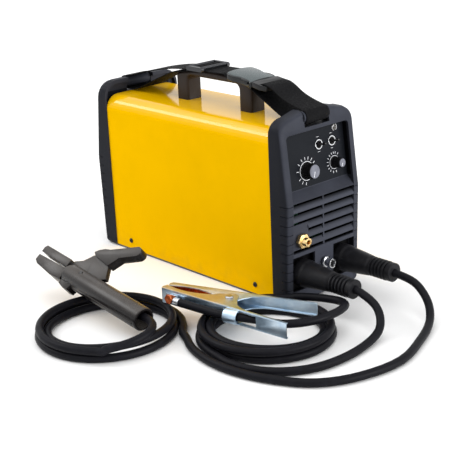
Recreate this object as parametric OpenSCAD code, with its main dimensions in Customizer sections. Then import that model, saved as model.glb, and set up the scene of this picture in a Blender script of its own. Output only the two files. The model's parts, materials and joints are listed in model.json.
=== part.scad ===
// Portable inverter welding machine: sheet steel case between two moulded end
// panels, carry handle with a shoulder strap, an electrode holder and an earth
// clamp, each on its own coiled cable. Front faces -Y, +X is to the right seen
// from the front, and the origin is the middle of the underside.

/* [Case] */
// Width of the sheet steel cover
cover_w = 140; // [130:1:160]
// Length of the cover between the end panels
cover_len = 356; // [340:2:380]
// Height of the end panels above the top of the cover
cover_step = 20; // [16:1:24]
// Height of the lower edge of the cover
cover_z0 = 3.5; // [2:0.5:5]
// Radius of the bend along each upper edge
cover_r = 22; // [14:1:30]
// Thickness of the cover and the base pan
sheet_t = 1.5; // [1:0.1:2]
// Height of the turned-up sides of the base pan
pan_side_h = 30; // [24:1:40]
// Distance of the cover screws from the ends of the cover
screw_end = 37.5; // [30:0.5:50]
// Height of the cover screws
screw_z = 17; // [14:1:20]

/* [End panels] */
// Width of the moulded panels
panel_w = 144.4; // [142:0.2:168]
// Height of the moulded panels
panel_h = 264; // [258:1:272]
// Depth of a panel at its ridge
ridge_depth = 32.5; // [31:0.5:36]
// Depth of a panel at its base
base_depth = 28; // [26:0.5:30]
// Height of the ridge between the louvres and the controls
ridge_z = 143.5; // [142:0.5:146]
// Lean of the upper face
lean = 6.5; // [5:0.5:8]
// Radius of the two upper corners
corner_r = 24; // [18:1:30]
// Rounding between the face and the sides
edge_r = 5; // [3:0.5:8]
// Wall of the panel mouldings
panel_wall = 3; // [2.5:0.5:4]
// Depth of the recess for the controls
recess_depth = 11; // [9:0.5:12]
// Half width of the recess and of the louvre field
field_half = 60.5; // [54:0.5:62]
// Height of one row of louvres
louvre_pitch = 13.3; // [12.5:0.1:13.5]
// Rows of louvres
louvre_rows = 6; // [4:1:6]
// Open height of each louvre slot
slot_h = 5; // [4:0.5:6]

/* [Handle and strap] */
// Width of the handle
grip_w = 27.6; // [24:0.2:36]
// Thickness of the grip at its middle
grip_t = 10.5; // [9:0.5:13]
// Fall of the grip from its middle to its ends
grip_drop = 9; // [7:0.5:10]
// Half length of the handle
grip_half = 80.5; // [78:0.5:84]
// Length of each post of the handle
post_len = 25; // [20:1:30]
// Clear height under the grip, above the cover
hand_room = 37.5; // [35:0.5:39]
// Width of the webbing
strap_w = 44; // [38:1:46]
// Thickness of the webbing
strap_t = 1.8; // [1.5:0.1:2.2]
// Radius of the moulded bars that hold the webbing
bar_r = 8; // [7:0.5:8.5]

/* [Controls] */
// Radius of the current knob
big_knob_r = 11; // [9:0.5:13]
// Radius of the function knob
small_knob_r = 7.5; // [6:0.5:9]
// Height of the knobs above the panel
knob_h = 15; // [12:0.5:18]
// Radius of the chrome rings of the toggle switches
toggle_ring_r = 6.2; // [5:0.2:7]

/* [Cables and plugs] */
// Diameter of the welding cables
cable_d = 11; // [9:0.5:11]
// Radius of a panel plug at its base
plug_r = 19.5; // [17:0.5:20.5]
// Radius of the brass pin of a plug
plug_pin_r = 6.5; // [6:0.1:7]
// Distance of the panel sockets from the middle of the panel
socket_x = 40; // [38:0.5:42]
// Height of the panel sockets
socket_z = 43; // [41:0.5:45]
// Radius of the outermost turn of the electrode cable coil
coil_a_r = 98; // [96:1:100]
// Radius of the outermost turn of the earth cable coil
coil_b_r = 90; // [88:1:91]
// Clear distance between turns of a coil
turn_gap = 0.6; // [0.5:0.1:0.8]

/* [Electrode holder] */
// Radius of the barrel
barrel_r = 16; // [15:0.5:17]
// Length of the barrel
barrel_len = 172; // [168:1:176]
// Radius of the open rear end
barrel_bore = 12.5; // [11.5:0.5:13]
// Half width of the jaws
jaw_half = 11; // [9:0.5:12]
// Thickness of the fin of the lever
fin_t = 8; // [7:0.5:10]

/* [Earth clamp] */
// Height of the pressed steel channels
clamp_h = 21; // [20:0.5:22]
// Thickness of the pressed steel
clamp_t = 1.5; // [1.2:0.1:1.8]
// Length from the rivet to the jaw tips
jaw_reach = 100; // [96:1:104]
// Length from the rivet to the ends of the handles
handle_reach = 109; // [105:1:112]
// Radius of the rivet
rivet_r = 3; // [2.5:0.1:3.5]

/* [Hidden] */
$fn = 48;

gap = 0.3;            // seating clearance between separate pieces
run_gap = 0.06;       // radial clearance of a running fit
half_len = cover_len / 2;
half_w = panel_w / 2;
cover_h = panel_h - cover_step;
grip_under = cover_h + hand_room;
ridge_y = half_len + ridge_depth;
foot_lean = atan((ridge_depth - base_depth) / ridge_z);
inner_w = cover_w - 2 * sheet_t;

// ---------------------------------------------------------------- helpers

function arc(cx, cy, r, a0, a1, n) =
    [for (k = [0:n]) let (a = a0 + (a1 - a0) * k / n) [cx + r * cos(a), cy + r * sin(a)]];

// Catmull-Rom curve through a list of points, n steps a span
function cr(a, b, c, d, t) =
    0.5 * (2 * b + (c - a) * t + (2 * a - 5 * b + 4 * c - d) * t * t
           + (3 * b - a - 3 * c + d) * t * t * t);
function smooth(p, n) = concat(
    [for (i = [0:len(p) - 2], k = [0:n - 1])
        cr(i == 0 ? 2 * p[0] - p[1] : p[i - 1], p[i], p[i + 1],
           i == len(p) - 2 ? 2 * p[i + 1] - p[i] : p[i + 2], k / n)],
    [p[len(p) - 1]]);
function unit(v) = v / norm(v);

// Ring of a tube about point p, square to direction t
function ring(p, t, r, sides) =
    let (s = unit(cross(t, [0, 0, 1])), u = cross(s, t))
    [for (k = [0:sides - 1]) let (a = 90 + 360 * k / sides) p + r * (cos(a) * s + sin(a) * u)];

// Round tube along path; first and last give the directions at its two ends
module tube(path, r, sides, first, last) {
    n = len(path);
    dirs = [for (i = [0:n - 1]) i == 0 ? unit(first)
            : i == n - 1 ? unit(last) : unit(path[i + 1] - path[i - 1])];
    pts = [for (i = [0:n - 1]) each ring(path[i], dirs[i], r, sides)];
    walls = [for (i = [0:n - 2], k = [0:sides - 1]) let (j = (k + 1) % sides)
             each [[i * sides + k, i * sides + j, (i + 1) * sides + j],
                   [i * sides + k, (i + 1) * sides + j, (i + 1) * sides + k]]];
    near_end = [for (k = [1:sides - 2]) [0, k + 1, k]];
    far_end = [for (k = [1:sides - 2]) let (b = (n - 1) * sides) [b, b + k, b + k + 1]];
    polyhedron(pts, concat(walls, near_end, far_end));
}

// Flat band of webbing: path lies in the Y-Z plane, the width runs along X
function band_sides(p, h) =
    let (n = len(p),
         nrm = [for (i = [0:n - 1])
                let (t = unit(p[min(i + 1, n - 1)] - p[max(i - 1, 0)])) [-t[1], t[0]]])
    concat([for (i = [0:n - 1]) p[i] + h * nrm[i]],
           [for (i = [n - 1:-1:0]) p[i] - h * nrm[i]]);
module across(w) {
    translate([-w / 2, 0, 0])
        rotate([90, 0, 90])
            linear_extrude(w)
                children();
}
module band(path, w) {
    across(w)
        polygon(band_sides(path, strap_t / 2));
}

// Round bar of radius r along -Y from y0 to y1
module y_rod(r, y0, y1) {
    translate([0, y0, 0])
        rotate([90, 0, 0])
            cylinder(r = r, h = y0 - y1);
}

// ---------------------------------------------------------------- end panels

// Outline of one half of a panel, from the ridge up or down, drawn in by i
panel_up = (panel_h - ridge_z) / cos(lean);
panel_down = ridge_z / cos(foot_lean);
foot_r = 8;           // radius of the lower corners
function upper_outline(i) = concat(
    [[half_w - i, 0]],
    arc(half_w - corner_r, panel_up - corner_r, corner_r - i, 0, 90, 6),
    arc(corner_r - half_w, panel_up - corner_r, corner_r - i, 90, 180, 6),
    [[i - half_w, 0]]);
function lower_outline(i) = concat(
    [[i - half_w, 0]],
    arc(foot_r - half_w, foot_r - panel_down, foot_r - i, 180, 270, 4),
    arc(half_w - foot_r, foot_r - panel_down, foot_r - i, 270, 360, 4),
    [[half_w - i, 0]]);
slice = 0.05;

// Puts a 2D shape on the upper or the lower face, at a depth below it
module on_upper(depth) {
    translate([0, -ridge_y, ridge_z])
        rotate([90 - lean, 0, 0])
            translate([0, 0, -depth])
                children();
}
module on_lower(depth) {
    translate([0, -ridge_y, ridge_z])
        rotate([90 + foot_lean, 0, 0])
            translate([0, 0, -depth])
                children();
}

module panel_block(inset) {
    hull() {
        translate([0, -half_len, 0])
            rotate([90, 0, 0])
                linear_extrude(ridge_depth / 3)
                    translate([0, ridge_z]) {
                        polygon(upper_outline(inset));
                        polygon(lower_outline(inset));
                    }
        for (k = [0:3]) {
            on_upper(inset + edge_r * (1 - sin(30 * k)) + slice)
                linear_extrude(slice)
                    polygon(upper_outline(inset + edge_r * (1 - cos(30 * k))));
            on_lower(inset + edge_r * (1 - sin(30 * k)) + slice)
                linear_extrude(slice)
                    polygon(lower_outline(inset + edge_r * (1 - cos(30 * k))));
        }
    }
}

// Space inside a panel: deep behind the louvres, shallow behind the controls
face_wall = 6.5;      // depth of the wall that the louvres stand in
deep_y = ridge_y - face_wall;
field_top = ridge_z + 2.5;
field_h = (louvre_rows - 1) * louvre_pitch + slot_h;
module panel_cavity() {
    w = panel_w - 2 * panel_wall - 1;
    translate([-w / 2, -deep_y, panel_wall])
        cube([w, deep_y - half_len + 1, field_top - panel_wall]);
    on_upper(recess_depth + panel_wall + 50)
        linear_extrude(50)
            polygon(concat(upper_outline(panel_wall),
                           [[panel_wall - half_w, -4], [half_w - panel_wall, -4]]));
}

// Bar for the webbing in a notch in the middle of the upper edge
bar_y = half_len + 14.5;
bar_z = panel_h - 0.4 - bar_r;
notch_z = bar_z - bar_r - 5.1;
notch_w = strap_w + 4;

module strap_notch() {
    translate([-notch_w / 2, -ridge_y - 1, notch_z])
        cube([notch_w, ridge_depth + 2, panel_h]);
}
module strap_bar() {
    translate([-notch_w / 2 - 1, -bar_y, bar_z])
        rotate([0, 90, 0])
            cylinder(r = bar_r, h = notch_w + 2);
}

// Louvre field: an open window and slanted blades across it
module louvre_window() {
    translate([-field_half, -ridge_y - 2, field_top - field_h])
        cube([2 * field_half, face_wall + 4, field_h]);
}
function face_y(z) = ridge_y - max(0, ridge_z - z) * tan(foot_lean) - max(0, z - ridge_z) * tan(lean);
module blade(k, x0, x1) {
    top = field_top - k * louvre_pitch - slot_h;
    low = field_top - (k + 1) * louvre_pitch;
    lip = face_y(low) - 0.3;
    t = 2.2;
    translate([x0, 0, 0])
        rotate([90, 0, 90])
            linear_extrude(x1 - x0)
                polygon([[-lip, low], [-lip, low + t], [-deep_y - 1.5, top],
                         [-deep_y - 0.5, top], [-deep_y - 0.5, top - t]]);
}
module louvres(pad_rows, pad_x) {
    for (k = [0:louvre_rows - 2])
        blade(k, pad_rows && (k == 2 || k == 3 || k == 4) ? pad_x : -field_half - 0.5, field_half + 0.5);
    low = field_top - field_h;
    translate([-1.3, 0.7 - face_y(low), low - 0.5])
        cube([2.6, face_y(low) - 1.2 - deep_y, field_h + 1]);
}

// Shallow grooves across the outer borders at the louvre pitch
groove = 1.2;
module side_grooves() {
    difference() {
        for (k = [0:10], s = [-1, 1])
            translate([s * (field_half + 8), -ridge_y + 6, field_top - 2.5 - k * louvre_pitch])
                cube([14, 18, groove], center = true);
        panel_block(groove);
    }
}

// Gas fitting, remote socket and wells for the panel sockets on the front
gas_x = -46;
gas_z = 92;
remote_z = 49;
well_half = 21.5;
well_depth = 12;
well_y = ridge_y - well_depth;
well_floor = 2.5;
module well(x) {
    translate([x - well_half, -ridge_y - 2, socket_z - 24])
        cube([2 * well_half, well_depth + 2, 50]);
}
module well_box(x) {
    translate([x - well_half - 2, -deep_y - 2, socket_z - 26])
        cube([2 * well_half + 4, deep_y + 2 - well_y + well_floor, 54]);
}
pad_x = -31;
pad_low = field_top - 5 * louvre_pitch - 0.5;
pad_high = field_top - 2 * louvre_pitch - slot_h + 0.5;
module gas_pad() {
    translate([-field_half - 0.5, 1.2 - face_y(pad_low), pad_low])
        cube([pad_x + field_half + 1.5, face_y(pad_low) - 1.9 - deep_y, pad_high - pad_low]);
}

// Recess for the controls, parallel to the upper face, with a sloping sill
recess_low = 16;
recess_high = panel_up - 25.28;
function up_recess(f) = recess_low + f * (recess_high - recess_low);
module control_recess() {
    intersection() {
        on_upper(recess_depth + 1)
            linear_extrude(recess_depth + 12)
                polygon(concat([[-field_half, 1], [field_half, 1]],
                               arc(field_half - 6, recess_high - 6, 6, 0, 90, 4),
                               arc(6 - field_half, recess_high - 6, 6, 90, 180, 4)));
        across(2 * field_half + 4)
            polygon([for (q = [[0, 3], [10, 3], [10, recess_high + 5], [-recess_depth, recess_high + 5],
                               [-recess_depth, recess_low]])
                     [-ridge_y - q[0] * cos(lean) + q[1] * sin(lean),
                      ridge_z + q[0] * sin(lean) + q[1] * cos(lean)]]);
    }
}

// Places children on the floor of the recess, with +Z pointing out of it
module on_controls(x, s) {
    on_upper(recess_depth)
        translate([x, s, 0])
            children();
}
big_knob = [-18, up_recess(0.2875)];
small_knob = [37, up_recess(0.2875)];
toggles = [[9, up_recess(0.675)], [35, up_recess(0.675)]];
indicator = [43, up_recess(0.8875)];
shaft_r = 3;
lens_r = 3;

module front_panel() {
    color("#4a4b55")
        difference() {
            union() {
                difference() {
                    panel_block(0);
                    panel_cavity();
                    louvre_window();
                    strap_notch();
                }
                louvres(true, pad_x);
                gas_pad();
                for (s = [-1, 1])
                    well_box(s * socket_x);
                strap_bar();
            }
            for (s = [-1, 1])
                well(s * socket_x);
            control_recess();
            side_grooves();
            for (p = [big_knob, small_knob])
                on_controls(p[0], p[1])
                    translate([0, 0, -9])
                        cylinder(r = shaft_r + gap, h = 12);
            for (p = toggles)
                on_controls(p[0], p[1])
                    translate([0, 0, -9])
                        cylinder(r = 4 + gap, h = 12);
            on_controls(indicator[0], indicator[1])
                translate([0, 0, -9])
                    cylinder(r = lens_r + gap, h = 12);
            translate([gas_x, 0, gas_z])
                y_rod(6 + gap, -half_len, -ridge_y - 2);
            translate([0, 0, remote_z])
                y_rod(6 + gap, -half_len, -ridge_y - 2);
            for (s = [-1, 1])
                translate([s * socket_x, 0, socket_z])
                    y_rod(13.5 + gap, -half_len, -ridge_y - 2);
        }
}

gland_x = -40;
gland_z = 40;
gland_r = 9;
inlet_x = 40;
inlet_z = 46;
inlet_r = 5;
switch_s = 60;
switch_w = 22;
switch_l = 30;
module rear_panel() {
    color("#3f3f47")
        difference() {
            union() {
                mirror([0, 1, 0])
                    difference() {
                        panel_block(0);
                        panel_cavity();
                        louvre_window();
                        strap_notch();
                    }
                mirror([0, 1, 0]) {
                    louvres(false, 0);
                    strap_bar();
                }
            }
            mirror([0, 1, 0]) {
                side_grooves();
                on_upper(60)
                    linear_extrude(70)
                        translate([-switch_w / 2 - gap, switch_s - switch_l / 2 - gap])
                            square([switch_w + 2 * gap, switch_l + 2 * gap]);
            }
            translate([gland_x, 0, gland_z])
                y_rod(gland_r + gap, ridge_y + 2, half_len);
            translate([inlet_x, 0, inlet_z])
                y_rod(inlet_r + gap, ridge_y + 2, half_len);
        }
}

// ---------------------------------------------------------------- case

module cover() {
    color("#f8c800")
        difference() {
            translate([0, half_len, 0])
                rotate([90, 0, 0])
                    linear_extrude(cover_len)
                        difference() {
                            polygon(concat([[-cover_w / 2, cover_z0]], [[cover_w / 2, cover_z0]],
                                arc(cover_w / 2 - cover_r, cover_h - cover_r, cover_r, 0, 90, 8),
                                arc(cover_r - cover_w / 2, cover_h - cover_r, cover_r, 90, 180, 8)));
                            polygon(concat([[-inner_w / 2, -1]], [[inner_w / 2, -1]],
                                arc(cover_w / 2 - cover_r, cover_h - cover_r, cover_r - sheet_t, 0, 90, 8),
                                arc(cover_r - cover_w / 2, cover_h - cover_r, cover_r - sheet_t, 90, 180, 8)));
                        }
            screw_places()
                cylinder(r = 2.3, h = 12, center = true);
        }
}

module screw_places() {
    for (s = [-1, 1], e = [-1, 1])
        translate([s * cover_w / 2, e * (half_len - screw_end), screw_z])
            rotate([0, s * 90, 0])
                children();
}

module base_pan() {
    side_x = inner_w / 2 - gap;
    color("#8a8d90")
        difference() {
            translate([0, half_len, 0])
                rotate([90, 0, 0])
                    linear_extrude(cover_len)
                        difference() {
                            translate([-side_x, 0])
                                square([2 * side_x, pan_side_h]);
                            translate([sheet_t - side_x, sheet_t])
                                square([2 * side_x - 2 * sheet_t, pan_side_h]);
                        }
            screw_places()
                cylinder(r = 2.3, h = 12, center = true);
        }
}

module cover_screws() {
    color("#1c1c1e")
        screw_places()
            difference() {
                union() {
                    rotate_extrude()
                        polygon([[0, gap], [3.8, gap], [3.8, 0.9], [2.9, 1.9], [0, 2.2]]);
                    translate([0, 0, -6])
                        cylinder(r = 2, h = 7);
                }
                translate([0, 0, 1])
                    cylinder(r = 1.5, h = 3, $fn = 6);
            }
}

// ---------------------------------------------------------------- handle and strap

grip_y = -18.5;       // the handle sits a little forward of the middle
rear_end = grip_y + grip_half + 12.5;
front_end = grip_y - grip_half + 12.5;
grip_mid = (rear_end + front_end) / 2;
grip_z = grip_under + grip_t;
function grip_top(y) = grip_z - grip_drop * pow((y - grip_mid) / grip_half, 2);
module carry_handle() {
    fillet = 8;
    color("#3a3230")
        union() {
            across(grip_w)
                difference() {
                    polygon(concat([[rear_end, cover_h], [rear_end, grip_top(rear_end)]],
                        [for (k = [1:15]) let (y = rear_end - (rear_end - front_end) * k / 16)
                            [y, grip_top(y)]],
                        [[front_end, grip_top(front_end)], [front_end, cover_h]]));
                    polygon(concat(
                        [[front_end + post_len, cover_h - 1]],
                        arc(front_end + post_len + fillet, grip_under - fillet, fillet, 180, 90, 5),
                        arc(rear_end - post_len - fillet, grip_under - fillet, fillet, 90, 0, 5),
                        [[rear_end - post_len, cover_h - 1]]));
                }
            across(grip_w - 8)
                polygon([[front_end + post_len, grip_under - 4], [front_end + post_len + 4, grip_under + 1],
                         [front_end + post_len, grip_under + 1]]);
        }
}

// Centre line of the lower layer of webbing, resting on the grip
function layer(y) = grip_top(y) + gap + strap_t / 2;
loop_r = bar_r + gap + strap_t / 2;
// Webbing round a bar: from below, round the outside, to the top
function round_bar(a0, a1, n, side) =
    [for (p = arc(side * bar_y, bar_z, loop_r, a0, a1, n)) p];

buckle_pos = [0, front_end - 1.5, grip_z - 1.2];
buckle_tilt = 9.2;
function buckle_yz(p) = [buckle_pos[1] + p[0] * cos(buckle_tilt) - p[1] * sin(buckle_tilt),
                         buckle_pos[2] + p[0] * sin(buckle_tilt) + p[1] * cos(buckle_tilt)];
slider_y = grip_mid + 23;
slider_r = 2.2;
slider_rise = layer(slider_y) + strap_t / 2 + gap + slider_r;   // height of its middle bar
strap_over = slider_rise + slider_r + gap + strap_t / 2;
slider_reach = 13.5;  // from the middle bar to the outer bars
outer_rise = 2.6;
strap_under = slider_rise + outer_rise - slider_r - gap - strap_t / 2;
// Free spans of webbing between an end of the grip or buckle and a bar: t along, f of the fall
function span(from, to, t, f) = [from[0] + (to[0] - from[0]) * t, from[1] + (to[1] - from[1]) * f];
rear_low = [rear_end, grip_z - 8];
rear_top = [rear_end, grip_z - 3.4];
front_low = [front_end, grip_z - 8.6];
front_top = buckle_yz([-52, 2]);
bar_low = [bar_y, bar_z - loop_r];
bar_top = [bar_y, bar_z + loop_r];
function fore(p) = [-p[0], p[1]];
rear_path = smooth(concat(
    [for (y = [slider_y - 6, slider_y + 7, slider_y + 23, rear_end - 16.5]) [y, layer(y)]],
    [[rear_end - 4.5, layer(rear_end - 4.5) + 0.3], [rear_end + 2.5, grip_z - 8],
     span(rear_low, bar_low, 0.1144, 0.117), span(rear_low, bar_low, 0.3856, 0.4654),
     span(rear_low, bar_low, 0.6907, 0.8777), [bar_y - 17.5, bar_z - loop_r + 0.4]],
    round_bar(-88, 80, 7, 1),
    [span(rear_top, bar_top, 0.8602, 0.8655), span(rear_top, bar_top, 0.4534, 0.353),
     span(rear_top, bar_top, 0.0805, 0), [slider_y + 29, layer(slider_y + 29) + 3.4],
     [slider_y + slider_reach + 5, strap_under - 0.4], [slider_y + slider_reach - 3, strap_under + 0.1],
     [slider_y, strap_over],
     [slider_y - slider_reach + 3, strap_under + 0.1], [slider_y - slider_reach - 5, strap_under - 0.4],
     [slider_y - 39, grip_z + 2.9], buckle_yz([50, -3.6]), buckle_yz([42.5, -5.5]), buckle_yz([37, -5.8]),
     buckle_yz([33.6, -4.6]), buckle_yz([32.75, -1]), buckle_yz([32.75, 2.6])]), 3);
front_path = smooth(concat(
    [[front_end + 26.5, layer(front_end + 26.5)], [front_end + 14.5, layer(front_end + 14.5)],
     [front_end + 4.5, layer(front_end + 4.5) + 0.4], [front_end - 2.5, grip_z - 8.6],
     span(front_low, fore(bar_low), 0.1274, 0.13), span(front_low, fore(bar_low), 0.2877, 0.373),
     span(front_low, fore(bar_low), 0.599, 0.838), span(front_low, fore(bar_low), 0.7311, 0.962),
     [16.5 - bar_y, bar_z - loop_r + 0.3]],
    round_bar(268, 100, 7, -1),
    [span(front_top, fore(bar_top), 0.6878, 0.7965), span(front_top, fore(bar_top), 0.3094, 0.461),
     buckle_yz([-52, 2]), buckle_yz([-44, 4.3]),
     buckle_yz([-38, 4.9]), buckle_yz([-31.6, 4.4]), buckle_yz([-29.5, 1]), buckle_yz([-29.5, -2.6])]), 3);

module strap_rear_webbing() {
    color("#1b1b1d")
        band(rear_path, strap_w);
}
module strap_front_webbing() {
    color("#1b1b1d")
        band(front_path, strap_w);
}

// Three-bar slider: side rails with the webbing over the middle bar
module strap_slider() {
    rail_x = strap_w / 2 + gap + 1;
    bar_len = 2 * rail_x + 4;
    color("#3b3c42") {
        for (k = [-1:1])
            translate([-bar_len / 2, slider_y + k * slider_reach, slider_rise + abs(k) * outer_rise])
                rotate([0, 90, 0])
                    cylinder(r = slider_r, h = bar_len);
        for (s = [-1, 1])
            translate([s * (rail_x + 2), slider_y, slider_rise + 0.8])
                rotate([0, 90, 0])
                    linear_extrude(5, center = true)
                        polygon(concat(arc(0, 14, 3.2, 0, 180, 6), arc(0, -14, 3.2, 180, 360, 6)));
    }
}

// Side-release buckle, in a frame of its own along the webbing
buckle_w = 54;
buckle_t = 9;
module at_buckle() {
    translate(buckle_pos)
        rotate([buckle_tilt, 0, 0])
            children();
}
module plan(pts, z0, z1) {
    translate([0, 0, z0])
        linear_extrude(z1 - z0)
            polygon(pts);
}
module buckle_socket() {
    hw = buckle_w / 2;
    color("#4b5350")
        at_buckle()
            difference() {
                intersection() {
                    plan(concat(arc(hw - 7, 34, 7, 0, 90, 5), arc(7 - hw, 34, 7, 90, 180, 5),
                                [[-hw, -4], [2 - hw, -12], [hw - 2, -12], [hw, -4]]),
                         -buckle_t / 2, buckle_t / 2);
                    translate([0, 0, -60 + buckle_t / 2])
                        rotate([90, 0, 0])
                            cylinder(r = 60, h = 120, center = true, $fn = 96);
                }
                // slot for the webbing
                translate([-strap_w / 2 - 1, 30, -buckle_t])
                    cube([strap_w + 2, 5.5, 2 * buckle_t]);
                // hollow for the prongs
                translate([-20, -20, -2.8])
                    cube([40, 42, 5.6]);
                for (s = [-1, 1])
                    translate([s * hw, 5, 0])
                        cube([18, 22, 5.6], center = true);
            }
}
module buckle_plug() {
    color("#26272a")
        at_buckle() {
            difference() {
                plan([[-25, -12.4], [25, -12.4], [26, -30], [22, -39], [-22, -39], [-26, -30]], -3.6, 3.6);
                translate([-strap_w / 2 - 1, -33, -6])
                    cube([strap_w + 2, 7, 12]);
            }
            translate([-4, -13, -2.2])
                cube([8, 26, 4.4]);
        }
}
// Springy side prong: arm and barbed head, hinged at its root
prong_root = [15, -12];
module prong() {
    plan([[12, -12.1], [17.5, -12.1], [18.6, -4], [26.6, -5.5], [26.8, 6], [22, 13], [17, 16],
          [13.5, 14], [13.5, 0]], -2.4, 2.4);
}
module buckle_prong_right() {
    color("#26272a")
        at_buckle()
            prong();
}
module buckle_prong_left() {
    color("#26272a")
        at_buckle()
            mirror([1, 0, 0])
                prong();
}

// ---------------------------------------------------------------- controls

module knob_body(r) {
    difference() {
        union() {
            translate([0, 0, 0.6])
                cylinder(r = r + 1, h = 1.6);
            translate([0, 0, 2])
                cylinder(r1 = r, r2 = r - 0.8, h = knob_h - 2);
            translate([0, 0, -7])
                cylinder(r = shaft_r, h = 9);
        }
        translate([0, 0, knob_h - 1.4])
            cylinder(r = r - 2, h = 3);
        for (a = [0:30:330])
            rotate(a)
                translate([r - 0.2, 0, 3.2])
                    cylinder(r = 1, h = knob_h);
    }
}
module knob_cap(r) {
    difference() {
        translate([0, 0, knob_h - 1.1])
            cylinder(r = r - 2 - gap, h = 1.9);
        rotate(-20)
            translate([-0.7, -r, knob_h + 0.1])
                cube([1.4, r, 3]);
    }
}
module current_knob() {
    color("#17171a")
        on_controls(big_knob[0], big_knob[1])
            knob_body(big_knob_r);
}
module current_knob_cap() {
    color("#8b8d96")
        on_controls(big_knob[0], big_knob[1])
            knob_cap(big_knob_r);
}
module function_knob() {
    color("#17171a")
        on_controls(small_knob[0], small_knob[1])
            knob_body(small_knob_r);
}
module function_knob_cap() {
    color("#8b8d96")
        on_controls(small_knob[0], small_knob[1])
            knob_cap(small_knob_r);
}

// Toggle switches: chrome bush and nut, lever on a ball
toggle_ball = 2.6;
toggle_up = 3.4;
module toggle_bushings() {
    color("#c9ccd0")
        for (p = toggles)
            on_controls(p[0], p[1])
                difference() {
                    union() {
                        translate([0, 0, gap])
                            cylinder(r = toggle_ring_r, h = 2, $fn = 6);
                        translate([0, 0, gap])
                            cylinder(r = toggle_ring_r - 1, h = 3);
                        translate([0, 0, -7])
                            cylinder(r = 4, h = 11);
                    }
                    translate([0, 0, 4.1])
                        cylinder(r1 = 3.1, r2 = 4, h = 1, center = true);
                    translate([0, 0, toggle_up])
                        sphere(r = toggle_ball + gap);
                    translate([0, 0, toggle_up])
                        cylinder(r1 = 2.2, r2 = 3.6, h = 3);
                }
}
toggle_rest = 10;
module toggle_lever(p) {
    on_controls(p[0], p[1])
        translate([0, 0, toggle_up])
            rotate([-toggle_rest, 0, 0]) {
                sphere(r = toggle_ball);
                rotate_extrude()
                    polygon([[0, 0], [1.3, 0], [1.9, 10.5], [1.5, 11.6], [0, 12]]);
            }
}
module process_toggle() {
    color("#17171a")
        toggle_lever(toggles[0]);
}
module trigger_toggle() {
    color("#17171a")
        toggle_lever(toggles[1]);
}
module indicator_lens() {
    color("#c8b23a")
        on_controls(indicator[0], indicator[1])
            rotate_extrude()
                polygon([[0, -5], [lens_r, -5], [lens_r, gap], [lens_r + 1, gap], [lens_r + 1, 0.9],
                         [2.4, 1.2], [2.1, 2], [1.3, 2.8], [0, 3.1]]);
}
// Board behind the controls, on the backs of the switches and potentiometers
module control_board() {
    color("#1f5a3a")
        difference() {
            union() {
                on_controls(0, 0)
                    translate([-field_half + 2, recess_low + 4, -9.4])
                        cube([2 * field_half - 4, recess_high - recess_low - 8, 1.6]);
                for (p = [big_knob, small_knob])
                    on_controls(p[0], p[1])
                        translate([0, 0, -8])
                            cylinder(r = 8, h = 5 - gap);
            }
            for (p = [big_knob, small_knob])
                on_controls(p[0], p[1])
                    translate([0, 0, -7.5])
                        cylinder(r = shaft_r + gap, h = 8);
            for (p = toggles)
                on_controls(p[0], p[1])
                    translate([0, 0, -12])
                        cylinder(r = 4 + gap, h = 6);
        }
}

// ---------------------------------------------------------------- front connections

nipple_r = 6;
nipple_end = ridge_y + 12.5;
module gas_outlet_fitting() {
    color("#c99a4a")
        translate([gas_x, 0, gas_z])
            difference() {
                union() {
                    y_rod(6, -half_len - 8, -ridge_y - 4);
                    translate([0, -ridge_y + 1.2 - gap, 0])
                        rotate([90, 0, 0])
                            cylinder(r = 10.6, h = 5.5, $fn = 6);
                    y_rod(8, -ridge_y - 4, -ridge_y - 5.5);
                    y_rod(nipple_r, -ridge_y - 4, -nipple_end);
                }
                y_rod(3.2, -half_len, -nipple_end - 1);
            }
}
module remote_socket_shell() {
    color("#c4c6ca")
        translate([0, 0, remote_z])
            difference() {
                union() {
                    y_rod(6, -half_len - 10, -ridge_y - 13);
                    translate([0, -ridge_y - gap, 0])
                        rotate([90, 0, 0])
                            cylinder(r = 8.6, h = 2.6, $fn = 6);
                    y_rod(6.6, -ridge_y - 10.5, -ridge_y - 13.5);
                }
                y_rod(4.7, -half_len, -ridge_y - 15);
            }
}
module remote_socket_insert() {
    color("#1d1d20")
        translate([0, 0, remote_z])
            difference() {
                y_rod(4.7 - gap, -half_len - 12, -ridge_y - 9.5);
                for (a = [0:60:300])
                    rotate([0, a, 0])
                        translate([2.6, 0, 0])
                            y_rod(0.55, -ridge_y - 4, -ridge_y - 12);
            }
}

// Panel sockets: insulator with a flange, brass contact inside
contact_r = 9;
module panel_sockets() {
    color("#202024")
        for (s = [-1, 1])
            translate([s * socket_x, 0, socket_z])
                difference() {
                    union() {
                        y_rod(17.5, -well_y - gap, -well_y - 3.3);
                        y_rod(13.5, -half_len - 2, -well_y - 2);
                    }
                    y_rod(contact_r + gap, -half_len, -well_y - 5);
                }
}
module socket_contacts() {
    color("#b98f45")
        for (s = [-1, 1])
            translate([s * socket_x, 0, socket_z])
                difference() {
                    y_rod(contact_r, -half_len + 6, -well_y - 2.4);
                    y_rod(plug_pin_r + run_gap, -half_len - 1, -well_y - 5);
                }
}

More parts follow.
